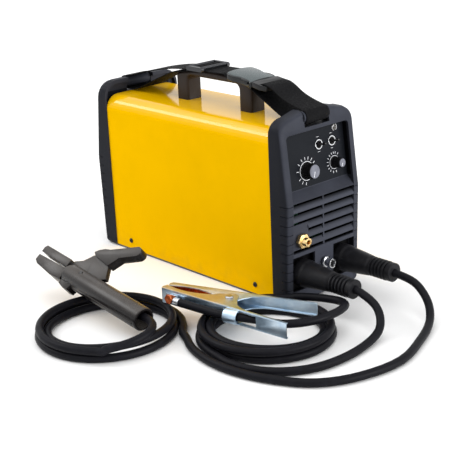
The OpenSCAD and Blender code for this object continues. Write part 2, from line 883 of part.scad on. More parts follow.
// Cable plugs: tapered rubber sleeve with a ribbed tail
plug_y0 = well_y + 3.8;
plug_end = plug_y0 + 98;
cable_bore = cable_d / 2 + gap;
cable_start = plug_end - 8;
rib_n = 5;
rib_pitch = 6;
plug_tail_r = 12.4;
function plug_profile() = concat(
    [[plug_pin_r + gap, 0], [plug_r - 1.5, 0], [plug_r, 1.5], [plug_r, 12], [plug_r - 1.2, 16],
     [plug_r - 3.4, 40], [plug_tail_r + 1.8, 56], [plug_tail_r, 59]],
    [for (k = [0:rib_n - 1]) each
        let (y = 60 + k * rib_pitch)
        [[plug_tail_r - 1, y], [plug_tail_r + 1.4, y + 0.8], [plug_tail_r + 1.2, y + 3], [plug_tail_r - 1.2, y + 3.8]]],
    [[plug_tail_r + 0.8, 90.4], [plug_tail_r + 0.8, 97], [plug_tail_r - 0.4, 98],
     [cable_bore, 98], [cable_bore, 90], [plug_pin_r + gap, 90]]);
module plug_sleeve(s) {
    translate([s * socket_x, -plug_y0, socket_z])
        rotate([90, 0, 0])
            rotate_extrude()
                polygon(plug_profile());
}
module plug_pin(s) {
    translate([s * socket_x, 0, socket_z])
        difference() {
            union() {
                y_rod(plug_pin_r, -half_len - 4, -cable_start + gap);
                y_rod(plug_pin_r - 1.5, -half_len - 2, -half_len - 5);
            }
        }
}
module electrode_plug() {
    color("#1d1d1f")
        plug_sleeve(1);
}
module electrode_plug_pin() {
    color("#b98f45")
        plug_pin(1);
}
module earth_plug() {
    color("#1d1d1f")
        plug_sleeve(-1);
}
module earth_plug_pin() {
    color("#b98f45")
        plug_pin(-1);
}

// ---------------------------------------------------------------- cables

cable_r = cable_d / 2;
turn_pitch = cable_d + turn_gap;

// Coil of two layers: in along the floor, up over half a turn, out on top.
// c: centre, r0: first radius, a0: first angle, dir: 1 anticlockwise or -1,
// turns: length in turns, back: turn at which the spiral reverses
function coil_point(c, r0, a0, dir, back, t) =
    let (r = t < back ? r0 - turn_pitch * t : r0 - turn_pitch * (2 * back - t),
         q = min(1, max(0, 2 * (t - back) + 0.5)),
         z = cable_r + turn_pitch * q * q * (3 - 2 * q),
         a = a0 + dir * 360 * t)
    [c[0] + r * cos(a), c[1] + r * sin(a), z];
function coil_dir(a0, dir, t) = let (a = a0 + dir * 360 * t) [-dir * sin(a), dir * cos(a), 0];
function coil_path(c, r0, a0, dir, turns, back) =
    let (n = ceil(24 * turns), s0 = coil_dir(a0, dir, 0), s1 = coil_dir(a0, dir, turns),
         p0 = coil_point(c, r0, a0, dir, back, 0), p1 = coil_point(c, r0, a0, dir, back, turns))
    concat([p0 - cable_d * s0],
           [for (k = [0:n]) coil_point(c, r0, a0, dir, back, turns * k / n)],
           [p1 + cable_d * s1]);
// Least clear distance of a coil to itself, half a turn or more apart
function self_gap(p) = min([for (i = [0:len(p) - 13], j = [i + 12:len(p) - 1]) norm(p[i] - p[j])]) - cable_d;

coil_a_c = [-287, -87];
coil_a_start = -42;
coil_a_turns = 2.714;
coil_a_back = 1.6;
coil_a = coil_path(coil_a_c, coil_a_r, coil_a_start, 1, coil_a_turns, coil_a_back);
coil_b_c = [-155, -252.5];
coil_b_start = 170;
coil_b_turns = 3.361;
coil_b_back = 1.7;
coil_b = coil_path(coil_b_c, coil_b_r, coil_b_start, -1, coil_b_turns, coil_b_back);
echo(electrode_coil_least_gap = self_gap(coil_a));
echo(earth_coil_least_gap = self_gap(coil_b));
function path_len(p) = len(p) < 2 ? 0 : [for (i = 0, s = 0; i < len(p); i = i + 1,
    s = s + (i < len(p) ? norm(p[i] - p[i - 1]) : 0)) s][len(p) - 1];

// Free stretches: points chosen along the floor from plug to coil to tool
a_dir0 = coil_dir(coil_a_start, 1, 0);
a_dir1 = coil_dir(coil_a_start, 1, coil_a_turns);
electrode_lead = [
    [40, -302, 43], [40, -318, 42], [40, -334, 38], [34, -356, 28], [22, -374, 18],
    [0, -391, 9], [-41, -410, 6], [-104, -430, 5.5], [-168, -422, 5.5], [-216, -396, 5.5],
    [-245, -352, 5.5], [-261, -300, 5.5], [-262, -255, 5.5], [-252, -214, 5.5], [-236, -184, 5.5]];
electrode_tail = [
    [-346, -160, 19], [-322, -174, 23.5], [-297, -178, 27.6], [-277, -168, 29.6],
    [-266.5, -147, 29.8], [-265.5, -122, 29.8], [-265.2, -100, 30.8]];
b_dir0 = coil_dir(coil_b_start, -1, 0);
b_dir1 = coil_dir(coil_b_start, -1, coil_b_turns);
earth_lead = [
    [-40, -302, 43], [-40, -318, 41], [-42, -334, 33], [-49, -350, 22], [-66, -362, 11],
    [-100, -370, 6.2], [-145, -374, 5.5], [-188, -367, 5.5], [-222, -346, 5.5],
    [-243, -315, 5.5], [-250, -280, 5.5]];
earth_tail = [
    [-67, -217, 18.5], [-57, -240, 21], [-53, -264, 24], [-54, -286, 27], [-63, -303, 29.5],
    [-84, -313, 31.5], [-106, -316.5, 33], [-126, -316, 33.6], [-146, -308.5, 33.6], [-161, -298, 33.6]];

function lead_points(p, start_at, end_at, end_dir) =
    concat([start_at], smooth(concat([for (i = [1:len(p) - 1]) p[i]], [end_at - cable_d * end_dir]), 2), [end_at]);

a_coil_in = coil_a[0];
a_coil_out = coil_a[len(coil_a) - 1];
b_coil_in = coil_b[0];
b_coil_out = coil_b[len(coil_b) - 1];

module electrode_cable() {
    start = [socket_x, -cable_start, socket_z];
    path = concat([start], smooth(concat([[socket_x, -plug_end - 4, socket_z - 0.2]],
        [for (i = [2:len(electrode_lead) - 1]) electrode_lead[i]], [a_coil_in - cable_d * a_dir0]), 2), [a_coil_in]);
    color("#26262a")
        tube(path, cable_r, 8, [0, -1, 0], a_dir0);
}
module electrode_cable_coil() {
    color("#26262a")
        tube(coil_a, cable_r, 6, a_dir0, a_dir1);
}
module electrode_cable_tail() {
    path = concat([a_coil_out], smooth(concat([a_coil_out + cable_d * a_dir1], electrode_tail), 2),
                  [holder_point([0, holder_cable_y, 0])]);
    color("#26262a")
        tube(path, cable_r, 8, a_dir1, holder_dir);
}
module earth_cable() {
    start = [-socket_x, -cable_start, socket_z];
    path = concat([start], smooth(concat([[-socket_x, -plug_end - 4, socket_z - 0.4]],
        [for (i = [2:len(earth_lead) - 1]) earth_lead[i]], [b_coil_in - cable_d * b_dir0]), 2), [b_coil_in]);
    color("#26262a")
        tube(path, cable_r, 8, [0, -1, 0], b_dir0);
}
module earth_cable_coil() {
    color("#26262a")
        tube(coil_b, cable_r, 6, b_dir0, b_dir1);
}
// The clamp lies flat on both coils; u runs to the jaw tips, v to the far side
clamp_at = [-169, -196, 33.6];
clamp_turn = atan2(0.969, -0.248);
function clamp_point(p) = clamp_at + [p[0] * cos(clamp_turn) + p[1] * sin(clamp_turn),
                                      p[0] * sin(clamp_turn) - p[1] * cos(clamp_turn), p[2]];
tip_v = 13.5;
end_v = 40;
web_a = atan((end_v - tip_v) / (jaw_reach + handle_reach));
function web_v(u) = -tip_v - (jaw_reach - u) * (end_v - tip_v) / (jaw_reach + handle_reach);
// In the clamp the cable runs inside the fixed channel, out through its window
// and along the outside of its web to the lug
lug_u = 62;
function in_clamp(u, off) = clamp_point([u - off * sin(web_a), web_v(u) + off * cos(web_a), 0]);
clamp_run = [for (q = [[-85, 13], [-67, 9.8], [-52, 6], [-36, 1.5], [-22, -3.2], [-8, -5.9], [8, -6.2], [32, -6.2]])
    in_clamp(q[0], q[1])];
module earth_cable_tail() {
    last = in_clamp(lug_u, -6.2);
    path = concat([b_coil_out], smooth(concat([b_coil_out + cable_d * b_dir1], earth_tail, clamp_run,
                  [in_clamp(lug_u - cable_d, -6.2)]), 2), [last]);
    color("#26262a")
        tube(path, cable_r, 8, b_dir1, last - in_clamp(lug_u - cable_d, -6.2));
}

// ---------------------------------------------------------------- electrode holder

// The holder lies across its coil: rear end, turn, rise and roll
holder_at = [-267, -138, 27];
holder_turn = -1.9;
holder_rise = 5.66;
holder_roll = 50;
module at_holder() {
    translate(holder_at)
        rotate([0, 0, holder_turn])
            rotate([holder_rise, 0, 0])
                rotate([0, holder_roll, 0])
                    children();
}
holder_dir = [cos(holder_rise) * -sin(holder_turn), cos(holder_rise) * cos(holder_turn), sin(holder_rise)];
// Only points on the axis of the barrel are needed
function holder_point(p) = holder_at + p[1] * holder_dir;
bore_len = 55;
holder_cable_y = bore_len - gap;
slot_low = -3;
slot_rear = 92;
pivot = [140, 8];
jaw_tip = 240;

// Side view of a piece, drawn in the barrel's Y-Z plane
module side_view(w) {
    translate([-w / 2, 0, 0])
        rotate([90, 0, 90])
            linear_extrude(w)
                children();
}
module holder_barrel() {
    color("#33322f")
        at_holder()
            difference() {
                union() {
                    rotate([-90, 0, 0])
                        rotate_extrude()
                            polygon([[0, 0], [barrel_r - 1, 0], [barrel_r, 1.5], [barrel_r, barrel_len - 4],
                                     [barrel_r - 1.5, barrel_len], [0, barrel_len]]);
                    side_view(18)
                        polygon([[147, -13], [149, -21], [157, -22], [barrel_len - 2, -19], [barrel_len - 2, -13]]);
                    for (a = [150, 210])
                        rotate([0, a, 0])
                            translate([-1.2, 6, barrel_r - 1])
                                cube([2.4, 120, 1.8]);
                }
                rotate([-90, 0, 0])
                    translate([0, 0, -1])
                        cylinder(r = barrel_bore, h = bore_len + 1);
                side_view(fin_t + 1)
                    polygon([[slot_rear, 40], [slot_rear, 8], [slot_rear + 12, slot_low],
                             [barrel_len + 1, slot_low], [barrel_len + 1, 40]]);
                translate([-20, pivot[0], pivot[1]])
                    rotate([0, 90, 0])
                        cylinder(r = 2.5 + gap, h = 40);
            }
}
module holder_lower_jaw() {
    color("#33322f")
        at_holder()
            difference() {
                side_view(2 * jaw_half)
                    polygon([[barrel_len + gap, 3.4], [barrel_len + gap, -14], [196, -16], [232, -12],
                             [jaw_tip, -8], [jaw_tip, 1.6]]);
                side_view(9)
                    polygon([[203, 5], [203, -1.5], [jaw_tip - 6, -3], [jaw_tip - 6, 5]]);
                side_view(30)
                    polygon([[212, -17], [216, -12.2], [226, -11.2], [229, -16]]);
            }
}
module holder_lever() {
    color("#33322f")
        at_holder()
            difference() {
                union() {
                    side_view(2 * jaw_half)
                        polygon([[barrel_len + 4, 5.2], [jaw_tip, 6.6], [jaw_tip, 14], [jaw_tip - 3, 18],
                                 [barrel_len + 6, 18], [barrel_len + 4, 16]]);
                    side_view(fin_t)
                        polygon([[barrel_len + 5, 6], [150, 1.6], [130, 1.6], [118, 11], [103, 19],
                                 [108, 27], [118, 42], [138, 46], [152, 40], [163, 26], [barrel_len + 5, 19]]);
                    side_view(15)
                        polygon(concat(
                            [[113, 36], [146, 40], [152, 44], [146, 50], [138, 55], [128, 58]],
                            arc(84, 73, 7.6, 65, 245, 8),
                            [[104, 53]]));
                }
                translate([-20, pivot[0], pivot[1]])
                    rotate([0, 90, 0])
                        cylinder(r = 2.5 + run_gap, h = 40);
                side_view(9)
                    polygon([[203, 4], [203, 9.5], [jaw_tip - 6, 10.5], [jaw_tip - 6, 4]]);
            }
}
module holder_pivot_pin() {
    color("#9a9ca0")
        at_holder()
            translate([-14, pivot[0], pivot[1]])
                rotate([0, 90, 0])
                    cylinder(r = 2.5, h = 28);
}
module holder_spring() {
    wire = 0.8;
    turns = 4;
    low = slot_low + wire + gap;
    high = 11 - wire - 0.6;
    path = [for (k = [0:12 * turns]) [3 * cos(30 * k), 118 + 3 * sin(30 * k), low + (high - 2.6 - low) * k / (12 * turns)]];
    color("#9a9ca0")
        at_holder()
            tube(path, wire, 6, [0, 1, 0.1], [0, 1, 0.1]);
}
module holder_contact() {
    color("#b98f45")
        at_holder()
            side_view(8)
                polygon([[203.4, -1.1], [203.4, 1.9], [jaw_tip - 6.5, 1], [jaw_tip - 6.5, -2.6]]);
}

// ---------------------------------------------------------------- earth clamp

module at_clamp() {
    translate(clamp_at)
        rotate([0, 0, clamp_turn])
            mirror([0, 1, 0])
                children();
}
mouth_end = 24;
mouth_deep = 7.5;
ear_r = 13;
lip_w = 4;
function mouth_v(u) = -1.2 - mouth_deep * sin(180 * (u - mouth_end) / (jaw_reach - 1 - mouth_end));
function half_plan() = concat(
    [[-handle_reach, web_v(-handle_reach)], [jaw_reach, web_v(jaw_reach)], [jaw_reach + 2, -8]],
    [for (k = [8:-1:0]) let (u = mouth_end + (jaw_reach - 1 - mouth_end) * k / 8) [u, mouth_v(u)]],
    [[19, 5]],
    arc(0, 0, ear_r, 40, 140, 6),
    [[-16, -6], [-24, web_v(-24) + 11], [-36, web_v(-36) + lip_w + 1.5], [-46, web_v(-46) + lip_w],
     [-handle_reach, web_v(-handle_reach) + lip_w]]);
// Pressed channel; inset draws the cheeks together so that one half nests in the other
module clamp_half(inset) {
    z = clamp_h / 2 - inset;
    difference() {
        union() {
            for (s = [-1, 1])
                translate([0, 0, s > 0 ? z - clamp_t : -z])
                    linear_extrude(clamp_t)
                        polygon(half_plan());
            translate([0, 0, -z])
                linear_extrude(2 * z)
                    polygon([[-handle_reach, web_v(-handle_reach)], [jaw_reach, web_v(jaw_reach)],
                             [jaw_reach, web_v(jaw_reach) + clamp_t], [-handle_reach, web_v(-handle_reach) + clamp_t]]);
        }
        cylinder(r = rivet_r + run_gap, h = 60, center = true);
    }
}
window_u0 = -61;
window_u1 = -8;
bolt_u = 82;
module clamp_fixed_half() {
    color("#a5bcd6")
        at_clamp()
            difference() {
                union() {
                    clamp_half(0);
                    strain_strap();
                }
                // window where the cable passes through the web
                translate([window_u0, web_v(window_u0) - 1, -7])
                    cube([window_u1 - window_u0, 14, 14]);
                translate([bolt_u, web_v(bolt_u), 0])
                    rotate([90, 0, 0])
                        cylinder(r = 4 + gap, h = 12, center = true);
            }
}
// Strap lanced out of the web that holds the cable
module strain_strap() {
    translate([-34, web_v(-24) - 1.5, 0])
        rotate([0, 90, 0])
            intersection() {
                difference() {
                    cylinder(r = 9.8, h = 20);
                    translate([0, 0, -1])
                        cylinder(r = 8.4, h = 22);
                }
                translate([-12, -12, -1])
                    cube([24, 15.5, 24]);
            }
}
module clamp_moving_half() {
    color("#a5bcd6")
        at_clamp()
            mirror([0, 1, 0])
                clamp_half(clamp_t + gap);
}
module clamp_rivet() {
    top = clamp_h / 2;
    color("#d0d6dc")
        at_clamp()
            rotate_extrude()
                polygon([[0, -top - 1.6], [4.2, -top - 1.6], [5.5, -top - gap], [rivet_r, -top - gap],
                         [rivet_r, top + gap], [5.5, top + gap], [4.2, top + 2], [0, top + 2.2]]);
}
// Torsion spring round the rivet with an arm along each handle
module clamp_spring() {
    wire = 1.1;
    coil_r = 6;
    turns = 3;
    z0 = -3.9;
    rise = 2.6;
    reach = -web_v(-coil_r) - clamp_t / cos(web_a) - gap - wire * tan(web_a);
    helix = [for (k = [0:12 * turns]) let (a = 180 - 30 * k)
             [coil_r * cos(a), coil_r * sin(a), z0 + rise * k / 12]];
    arm0 = [[-coil_r, -reach, z0], [-coil_r, -0.6 * reach, z0], [-coil_r, -0.2 * reach, z0]];
    arm1 = [for (k = [2:-1:0]) [-coil_r, -arm0[k][1], z0 + rise * turns]];
    color("#7f93a8")
        at_clamp()
            tube(concat(arm0, helix, arm1), wire, 6, [0, 1, 0], [0, 1, 0]);
}
// Copper lining of a jaw
function lining(d) = [for (k = [0:8]) let (u = 30 + (jaw_reach - 34) * k / 8) [u, mouth_v(u) + d]];
module jaw_lining(z) {
    translate([0, 0, -z])
        linear_extrude(2 * z)
            polygon(concat(lining(-2), [for (k = [8:-1:0]) lining(0.6)[k]]));
}
module clamp_fixed_contact() {
    color("#8e3510")
        at_clamp()
            jaw_lining(clamp_h / 2 - clamp_t - gap);
}
module clamp_moving_contact() {
    color("#8e3510")
        at_clamp()
            mirror([0, 1, 0])
                jaw_lining(clamp_h / 2 - 2 * clamp_t - 2 * gap);
}
// Copper lug crimped on the cable, bolted to the outside of the web
module on_web(u, off) {
    at_clamp()
        translate([u, web_v(u), 0])
            rotate([0, 0, web_a])
                translate([0, off, 0])
                    children();
}
module clamp_cable_lug() {
    color("#b9bcc0")
        on_web(lug_u, -6.2)
            difference() {
                union() {
                    translate([gap, 0, 0])
                        rotate([0, 90, 0])
                            cylinder(r = 5, h = 9);
                    translate([8, 6.2 - gap - 3, -6])
                        cube([20, 3, 12]);
                    translate([6, -1, -4])
                        cube([5, 5, 8]);
                }
                translate([(bolt_u - lug_u) / cos(web_a), 0, 0])
                    rotate([90, 0, 0])
                        cylinder(r = 4 + gap, h = 30, center = true);
            }
}
module clamp_bolt() {
    color("#a9583a")
        on_web(bolt_u, 0)
            rotate([90, 0, 0]) {
                translate([0, 0, -5])
                    cylinder(r = 4, h = 13.5);
                translate([0, 0, 3 + 2 * gap])
                    cylinder(r = 6.6, h = 4.5, $fn = 6);
                translate([0, 0, -5])
                    cylinder(r = 6.4, h = 3.2, $fn = 6);
            }
}

// ---------------------------------------------------------------- rear fittings

module at_switch() {
    mirror([0, 1, 0])
        on_upper(0)
            translate([0, switch_s, 0])
                children();
}
module mains_switch_frame() {
    color("#1a1a1c")
        at_switch()
            difference() {
                union() {
                    translate([-switch_w / 2 - 2, -switch_l / 2 - 2, gap])
                        cube([switch_w + 4, switch_l + 4, 2]);
                    translate([-switch_w / 2, -switch_l / 2, -14])
                        cube([switch_w, switch_l, 15]);
                }
                translate([-switch_w / 2 + 2.5, -switch_l / 2 + 2.5, -10])
                    cube([switch_w - 5, switch_l - 5, 20]);
                translate([0, 0, -2])
                    rotate([0, 90, 0])
                        cylinder(r = 1.5 + run_gap, h = switch_w + 1, center = true);
            }
}
rocker_rest = 8;
module mains_rocker() {
    color("#8f1d1a")
        at_switch()
            translate([0, 0, -2])
                rotate([rocker_rest, 0, 0]) {
                    translate([-switch_w / 2 + 3, 0, 0])
                        rotate([90, 0, 90])
                            linear_extrude(switch_w - 6)
                                polygon([[-11, -4], [11, -4], [11, 3.4], [0, 1.8], [-11, 3.4]]);
                    rotate([0, 90, 0])
                        cylinder(r = 1.5, h = switch_w - 1, center = true);
                }
}
// Gland for the mains lead, ribbed and tapered, with its bore open
gland_bore = 4.2;
function lower_face_y(z) = face_y(z);
module mains_gland() {
    y0 = lower_face_y(gland_z) + gap + 0.4;
    color("#17171a")
        translate([gland_x, 0, gland_z])
            difference() {
                union() {
                    y_rod(gland_r, y0 + 1, y0 - 16);
                    translate([0, y0 + 4, 0])
                        rotate([90, 0, 0])
                            cylinder(r = 13, h = 4, $fn = 6);
                    translate([0, y0 + 22, 0])
                        rotate([90, 0, 0])
                            cylinder(r1 = 6.5, r2 = 10, h = 18.5);
                }
                y_rod(gland_bore, y0 + 30, y0 - 30);
            }
}
module gas_inlet_valve() {
    y0 = lower_face_y(inlet_z) + gap + 0.4;
    color("#c2a25a")
        translate([inlet_x, 0, inlet_z])
            difference() {
                union() {
                    translate([-12, half_len - 34, -16])
                        cube([24, 26, 34]);
                    y_rod(inlet_r, y0 + 20, half_len - 10);
                    translate([0, y0 + 5, 0])
                        rotate([90, 0, 0])
                            cylinder(r = 9, h = 5, $fn = 6);
                    translate([0, y0 + 23, 0])
                        rotate([90, 0, 0])
                            cylinder(r1 = inlet_r - 0.8, r2 = inlet_r, h = 4);
                }
                y_rod(2.5, y0 + 30, half_len - 6);
            }
}
fan_size = 92;
fan_z = 99;
fan_y0 = deep_y - gap;
fan_t = 25;
module fan_frame() {
    color("#1b1b1d")
        translate([0, fan_y0, fan_z])
            rotate([90, 0, 0])
                difference() {
                    translate([-fan_size / 2, -fan_size / 2, 0])
                        cube([fan_size, fan_size, fan_t]);
                    translate([0, 0, -1])
                        cylinder(r = fan_size / 2 - 2, h = fan_t - 2);
                    difference() {
                        translate([0, 0, fan_t - 5])
                            cylinder(r = fan_size / 2 - 2, h = 10);
                        for (a = [45:90:315])
                            rotate(a)
                                translate([0, -2, fan_t - 4])
                                    cube([fan_size, 4, 5]);
                        translate([0, 0, fan_t - 4])
                            cylinder(r = 17, h = 5);
                    }
                    for (a = [-1, 1], b = [-1, 1])
                        translate([a * 41.2, b * 41.2, -1])
                            cylinder(r = 2.2, h = 40);
                    // bearing of the shaft
                    translate([0, 0, fan_t - 5])
                        cylinder(r = 3 + run_gap, h = 4);
                }
}
module fan_rotor() {
    color("#2a2a2d")
        translate([0, fan_y0, fan_z])
            rotate([90, 0, 0]) {
                translate([0, 0, 3])
                    cylinder(r = 18, h = fan_t - 8);
                translate([0, 0, fan_t - 6])
                    cylinder(r = 3, h = 5 - gap);
                for (a = [0:360 / 7:359])
                    rotate(a)
                        translate([16, 0, fan_t / 2 - 1])
                            rotate([35, 0, 0])
                                translate([0, -0.8, -8])
                                    cube([26, 1.6, 16]);
            }
}

// ---------------------------------------------------------------- inside

sink_h = 58;
module heat_sink() {
    color("#b4b8bc")
        translate([-48, -130, sheet_t + gap]) {
            cube([96, 170, 6]);
            for (k = [0:9])
                translate([k * 10.2, 0, 0])
                    cube([3, 170, sink_h]);
        }
}
module power_board() {
    z = sheet_t + 2 * gap + sink_h;
    color("#1f5a3a")
        union() {
            translate([-60, -150, z])
                cube([120, 215, 2]);
            for (k = [0:2])
                translate([-30 + 30 * k, -110, z + 1])
                    cylinder(r = 13, h = 42);
            for (k = [0:1])
                translate([-35 + 45 * k, -40, z + 1])
                    cube([22, 60, 34]);
        }
}
module main_transformer() {
    color("#5a4a3c")
        translate([0, 96, sheet_t + gap]) {
            translate([-38, -24, 0])
                cube([76, 48, 16]);
            translate([-30, -20, 15])
                cube([60, 40, 44]);
            translate([-38, -24, 58])
                cube([76, 48, 12]);
        }
}

base_pan();
cover();
front_panel();
rear_panel();
cover_screws();
carry_handle();
strap_rear_webbing();
strap_front_webbing();
strap_slider();
buckle_socket();
buckle_plug();
buckle_prong_left();
buckle_prong_right();
current_knob();
current_knob_cap();
function_knob();
function_knob_cap();
process_toggle();
trigger_toggle();
toggle_bushings();
indicator_lens();
control_board();
gas_outlet_fitting();
remote_socket_shell();
remote_socket_insert();
panel_sockets();
socket_contacts();
electrode_plug();
electrode_plug_pin();
earth_plug();
earth_plug_pin();
electrode_cable();
electrode_cable_coil();
electrode_cable_tail();
earth_cable();
earth_cable_coil();
earth_cable_tail();
holder_barrel();
holder_lower_jaw();
holder_lever();
holder_pivot_pin();
holder_spring();
holder_contact();
clamp_fixed_half();
clamp_moving_half();
clamp_rivet();
clamp_spring();
clamp_fixed_contact();
clamp_moving_contact();
clamp_cable_lug();
clamp_bolt();
mains_switch_frame();
mains_rocker();
mains_gland();
gas_inlet_valve();
fan_frame();
fan_rotor();
heat_sink();
power_board();
main_transformer();
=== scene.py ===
"""Portable inverter welding machine: finishes, mouldings, webbing, cables and studio.

Shapes are worked out in millimetres and their meshes written in metres. X runs across the
case, Y along it with the front at the low end, and Z up.
"""

import json
import math

import bmesh
import bpy
from mathutils import Matrix, Vector


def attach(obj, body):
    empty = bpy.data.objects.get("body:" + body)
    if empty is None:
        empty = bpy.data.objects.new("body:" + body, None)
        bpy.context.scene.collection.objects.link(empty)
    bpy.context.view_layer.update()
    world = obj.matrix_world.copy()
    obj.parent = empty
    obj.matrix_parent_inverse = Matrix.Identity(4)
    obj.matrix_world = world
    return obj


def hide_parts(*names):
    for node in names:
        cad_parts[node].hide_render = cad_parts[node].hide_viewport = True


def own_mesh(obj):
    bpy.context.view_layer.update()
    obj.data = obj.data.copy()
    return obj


bl_info = {
    "name": "Inverter welding machine",
    "version": (2, 0, 0),
    "blender": (4, 5, 0),
    "location": "View3D > Sidebar > Welder",
    "description": "Builds the finished look of a portable welding machine with its cables",
    "category": "Object",
}

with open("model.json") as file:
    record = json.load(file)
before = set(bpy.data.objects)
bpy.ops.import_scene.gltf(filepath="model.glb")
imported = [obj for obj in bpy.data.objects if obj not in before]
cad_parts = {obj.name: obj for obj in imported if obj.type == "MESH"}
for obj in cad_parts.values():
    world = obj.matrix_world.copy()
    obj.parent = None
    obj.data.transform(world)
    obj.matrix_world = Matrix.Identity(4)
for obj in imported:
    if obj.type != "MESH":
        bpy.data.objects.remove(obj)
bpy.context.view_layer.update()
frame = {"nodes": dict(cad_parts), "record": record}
NODES = frame["nodes"]
BODY = {n: b for b, ns in frame["record"]["behaviour"]["bodies"].items() for n in ns}
SLOT = {s["node"]: s["material_slot"] for s in frame["record"]["subparts"]}
MATS = {}
SHOWN = dict(NODES)
MM = 0.001

# the leaned upper face of an end panel: its ridge, its lean and the depth of its recess
RIDGE_Y, RIDGE_Z, LEAN, RECESS = 210.5, 143.5, 6.5, 11


# ---- shader maths

class Val:
    """A number in a material. Arithmetic on it adds Math nodes."""

    def __init__(self, tree, socket):
        self.tree = tree
        self.socket = socket

    def _math(self, op, *terms):
        n = self.tree.nodes.new("ShaderNodeMath")
        n.operation = op
        for term, slot in zip(terms, n.inputs):
            if isinstance(term, Val):
                self.tree.links.new(term.socket, slot)
            else:
                slot.default_value = term
        return Val(self.tree, n.outputs[0])

    def __add__(self, o):
        return self._math("ADD", self, o)

    def __radd__(self, o):
        return self._math("ADD", o, self)

    def __sub__(self, o):
        return self._math("SUBTRACT", self, o)

    def __rsub__(self, o):
        return self._math("SUBTRACT", o, self)

    def __mul__(self, o):
        return self._math("MULTIPLY", self, o)

    def __rmul__(self, o):
        return self._math("MULTIPLY", o, self)

    def __truediv__(self, o):
        return self._math("DIVIDE", self, o)

    def __rtruediv__(self, o):
        return self._math("DIVIDE", o, self)

    def __pow__(self, o):
        return self._math("POWER", self, o)

    def __abs__(self):
        return self._math("ABSOLUTE", self)

    def sin(self):
        return self._math("SINE", self)

    def frac(self):
        return self._math("FRACT", self)

    def max(self, o):
        return self._math("MAXIMUM", self, o)

    def above(self, o):
        return self._math("GREATER_THAN", self, o)


class Tree:
    """A node tree being wired up. Every node but Math comes from its node method."""

    def __init__(self, tree):
        self.tree = tree

    def link(self, v, socket):
        self.tree.links.new(v.socket if isinstance(v, Val) else v, socket)

    def node(self, kind, settings=None, values=None):
        """A node of this kind: its settings first, then the values or links of its sockets."""
        n = self.tree.nodes.new(kind)
        for key, v in (settings or {}).items():
            setattr(n, key, v)
        for key, v in (values or {}).items():
            if isinstance(v, (Val, bpy.types.NodeSocket)):
                self.link(v, n.inputs[key])
            else:
                n.inputs[key].default_value = v
        return n

    def mix(self, a, b, fac):
        """Colour a, turning to b as fac goes from 0 to 1."""
        a, b = [(*v[:3], 1) if isinstance(v, (tuple, list)) else v for v in (a, b)]
        return self.node("ShaderNodeMix", {"data_type": "RGBA"}, {0: fac, 6: a, 7: b}).outputs[2]


class Mat(Tree):
    """A material under construction."""

    def __init__(self, name, color, rough, metal=0.0, coat=0.0, coat_rough=0.1, spec=0.5):
        self.mat = bpy.data.materials.new(name)
        self.mat.use_nodes = True
        super().__init__(self.mat.node_tree)
        self.shader = self.tree.nodes["Principled BSDF"]
        for key, v in (("Base Color", (*color, 1)), ("Roughness", rough), ("Metallic", metal),
                       ("Coat Weight", coat), ("Coat Roughness", coat_rough),
                       ("Specular IOR Level", spec)):
            self.shader.inputs[key].default_value = v
        self.mat.diffuse_color = (*color, 1)
        coords = self.node("ShaderNodeTexCoord")
        self.place, self.uv = coords.outputs["Object"], coords.outputs["UV"]
        self.relief = None

    def xyz(self, source=None):
        """The three parts of a vector, of the place on the object if none is given."""
        n = self.node("ShaderNodeSeparateXYZ", None, {0: source or self.place})
        return [Val(self.tree, o) for o in n.outputs]

    def normal(self):
        return self.xyz(self.node("ShaderNodeNewGeometry").outputs["Normal"])

    def stretched(self, v):
        """The place on the object, scaled by v along each axis."""
        n = self.node("ShaderNodeVectorMath", {"operation": "MULTIPLY"}, {0: self.place, 1: v})
        return n.outputs[0]

    def noise(self, scale, detail=3.0, rough=0.55, stretch=None):
        at = self.stretched(stretch) if stretch else self.place
        n = self.node("ShaderNodeTexNoise", None,
                      {"Vector": at, "Scale": scale, "Detail": detail, "Roughness": rough})
        return Val(self.tree, n.outputs["Fac"])

    def ramp(self, v, a, b, lo=0.0, hi=1.0):
        """From lo to hi, smoothly, as v goes from a to b."""
        n = self.node("ShaderNodeMapRange", {"interpolation_type": "SMOOTHSTEP"},
                      {"Value": v, "From Min": a, "From Max": b, "To Min": lo, "To Max": hi})
        return Val(self.tree, n.outputs["Result"])

    def feed(self, **patterns):
        """Link patterns to the shader's colour, roughness or coat."""
        names = {"color": "Base Color", "rough": "Roughness", "coat": "Coat Weight"}
        for key, v in patterns.items():
            self.link(v, self.shader.inputs[names[key]])

    def bump(self, height, strength=0.3, dist=0.0005):
        """Relief over any relief that is there already."""
        values = {"Strength": strength, "Distance": dist, "Height": height}
        if self.relief:
            values["Normal"] = self.relief
        self.relief = self.node("ShaderNodeBump", None, values).outputs["Normal"]
        self.link(self.relief, self.shader.inputs["Normal"])


# ---- materials

def shade(c, k):
    """Colour c made k times as bright."""
    return tuple(x * k for x in c)


def patchy(name, c, rough, noise, dark, pale, span, rough_span=None, grain=None, **settings):
    """A finish that a noise turns from dark to pale, with a relief where grain is given."""
    m = Mat(name, c, rough, **settings)
    n = m.noise(*noise)
    m.feed(color=m.mix(dark, pale, m.ramp(n, *span)))
    if rough_span:
        m.feed(rough=m.ramp(n, *rough_span))
    if grain:
        m.bump(m.noise(*grain[0]), *grain[1:])
    return m


def flow_clouds(m, c, wear):
    """The faint clouds of a moulded surface."""
    return m.mix(shade(c, 1 - wear), shade(c, 1 + wear * 1.5), m.ramp(m.noise(26, 4), 0.3, 0.7))


def painted_top_highlight(m, c, wear):
    """Holder plastic with a painted highlight: its upper faces paler, in patches."""
    nz = m.normal()[2]
    # painted highlight on the faces that turn up
    lit_top_mask = m.ramp(nz, 0.35, 0.98) * m.ramp(m.noise(30, 4), 0.25, 0.55, 0.6, 1.0)
    return m.mix((0.009, 0.0075, 0.0075), (0.062, 0.055, 0.050), lit_top_mask)


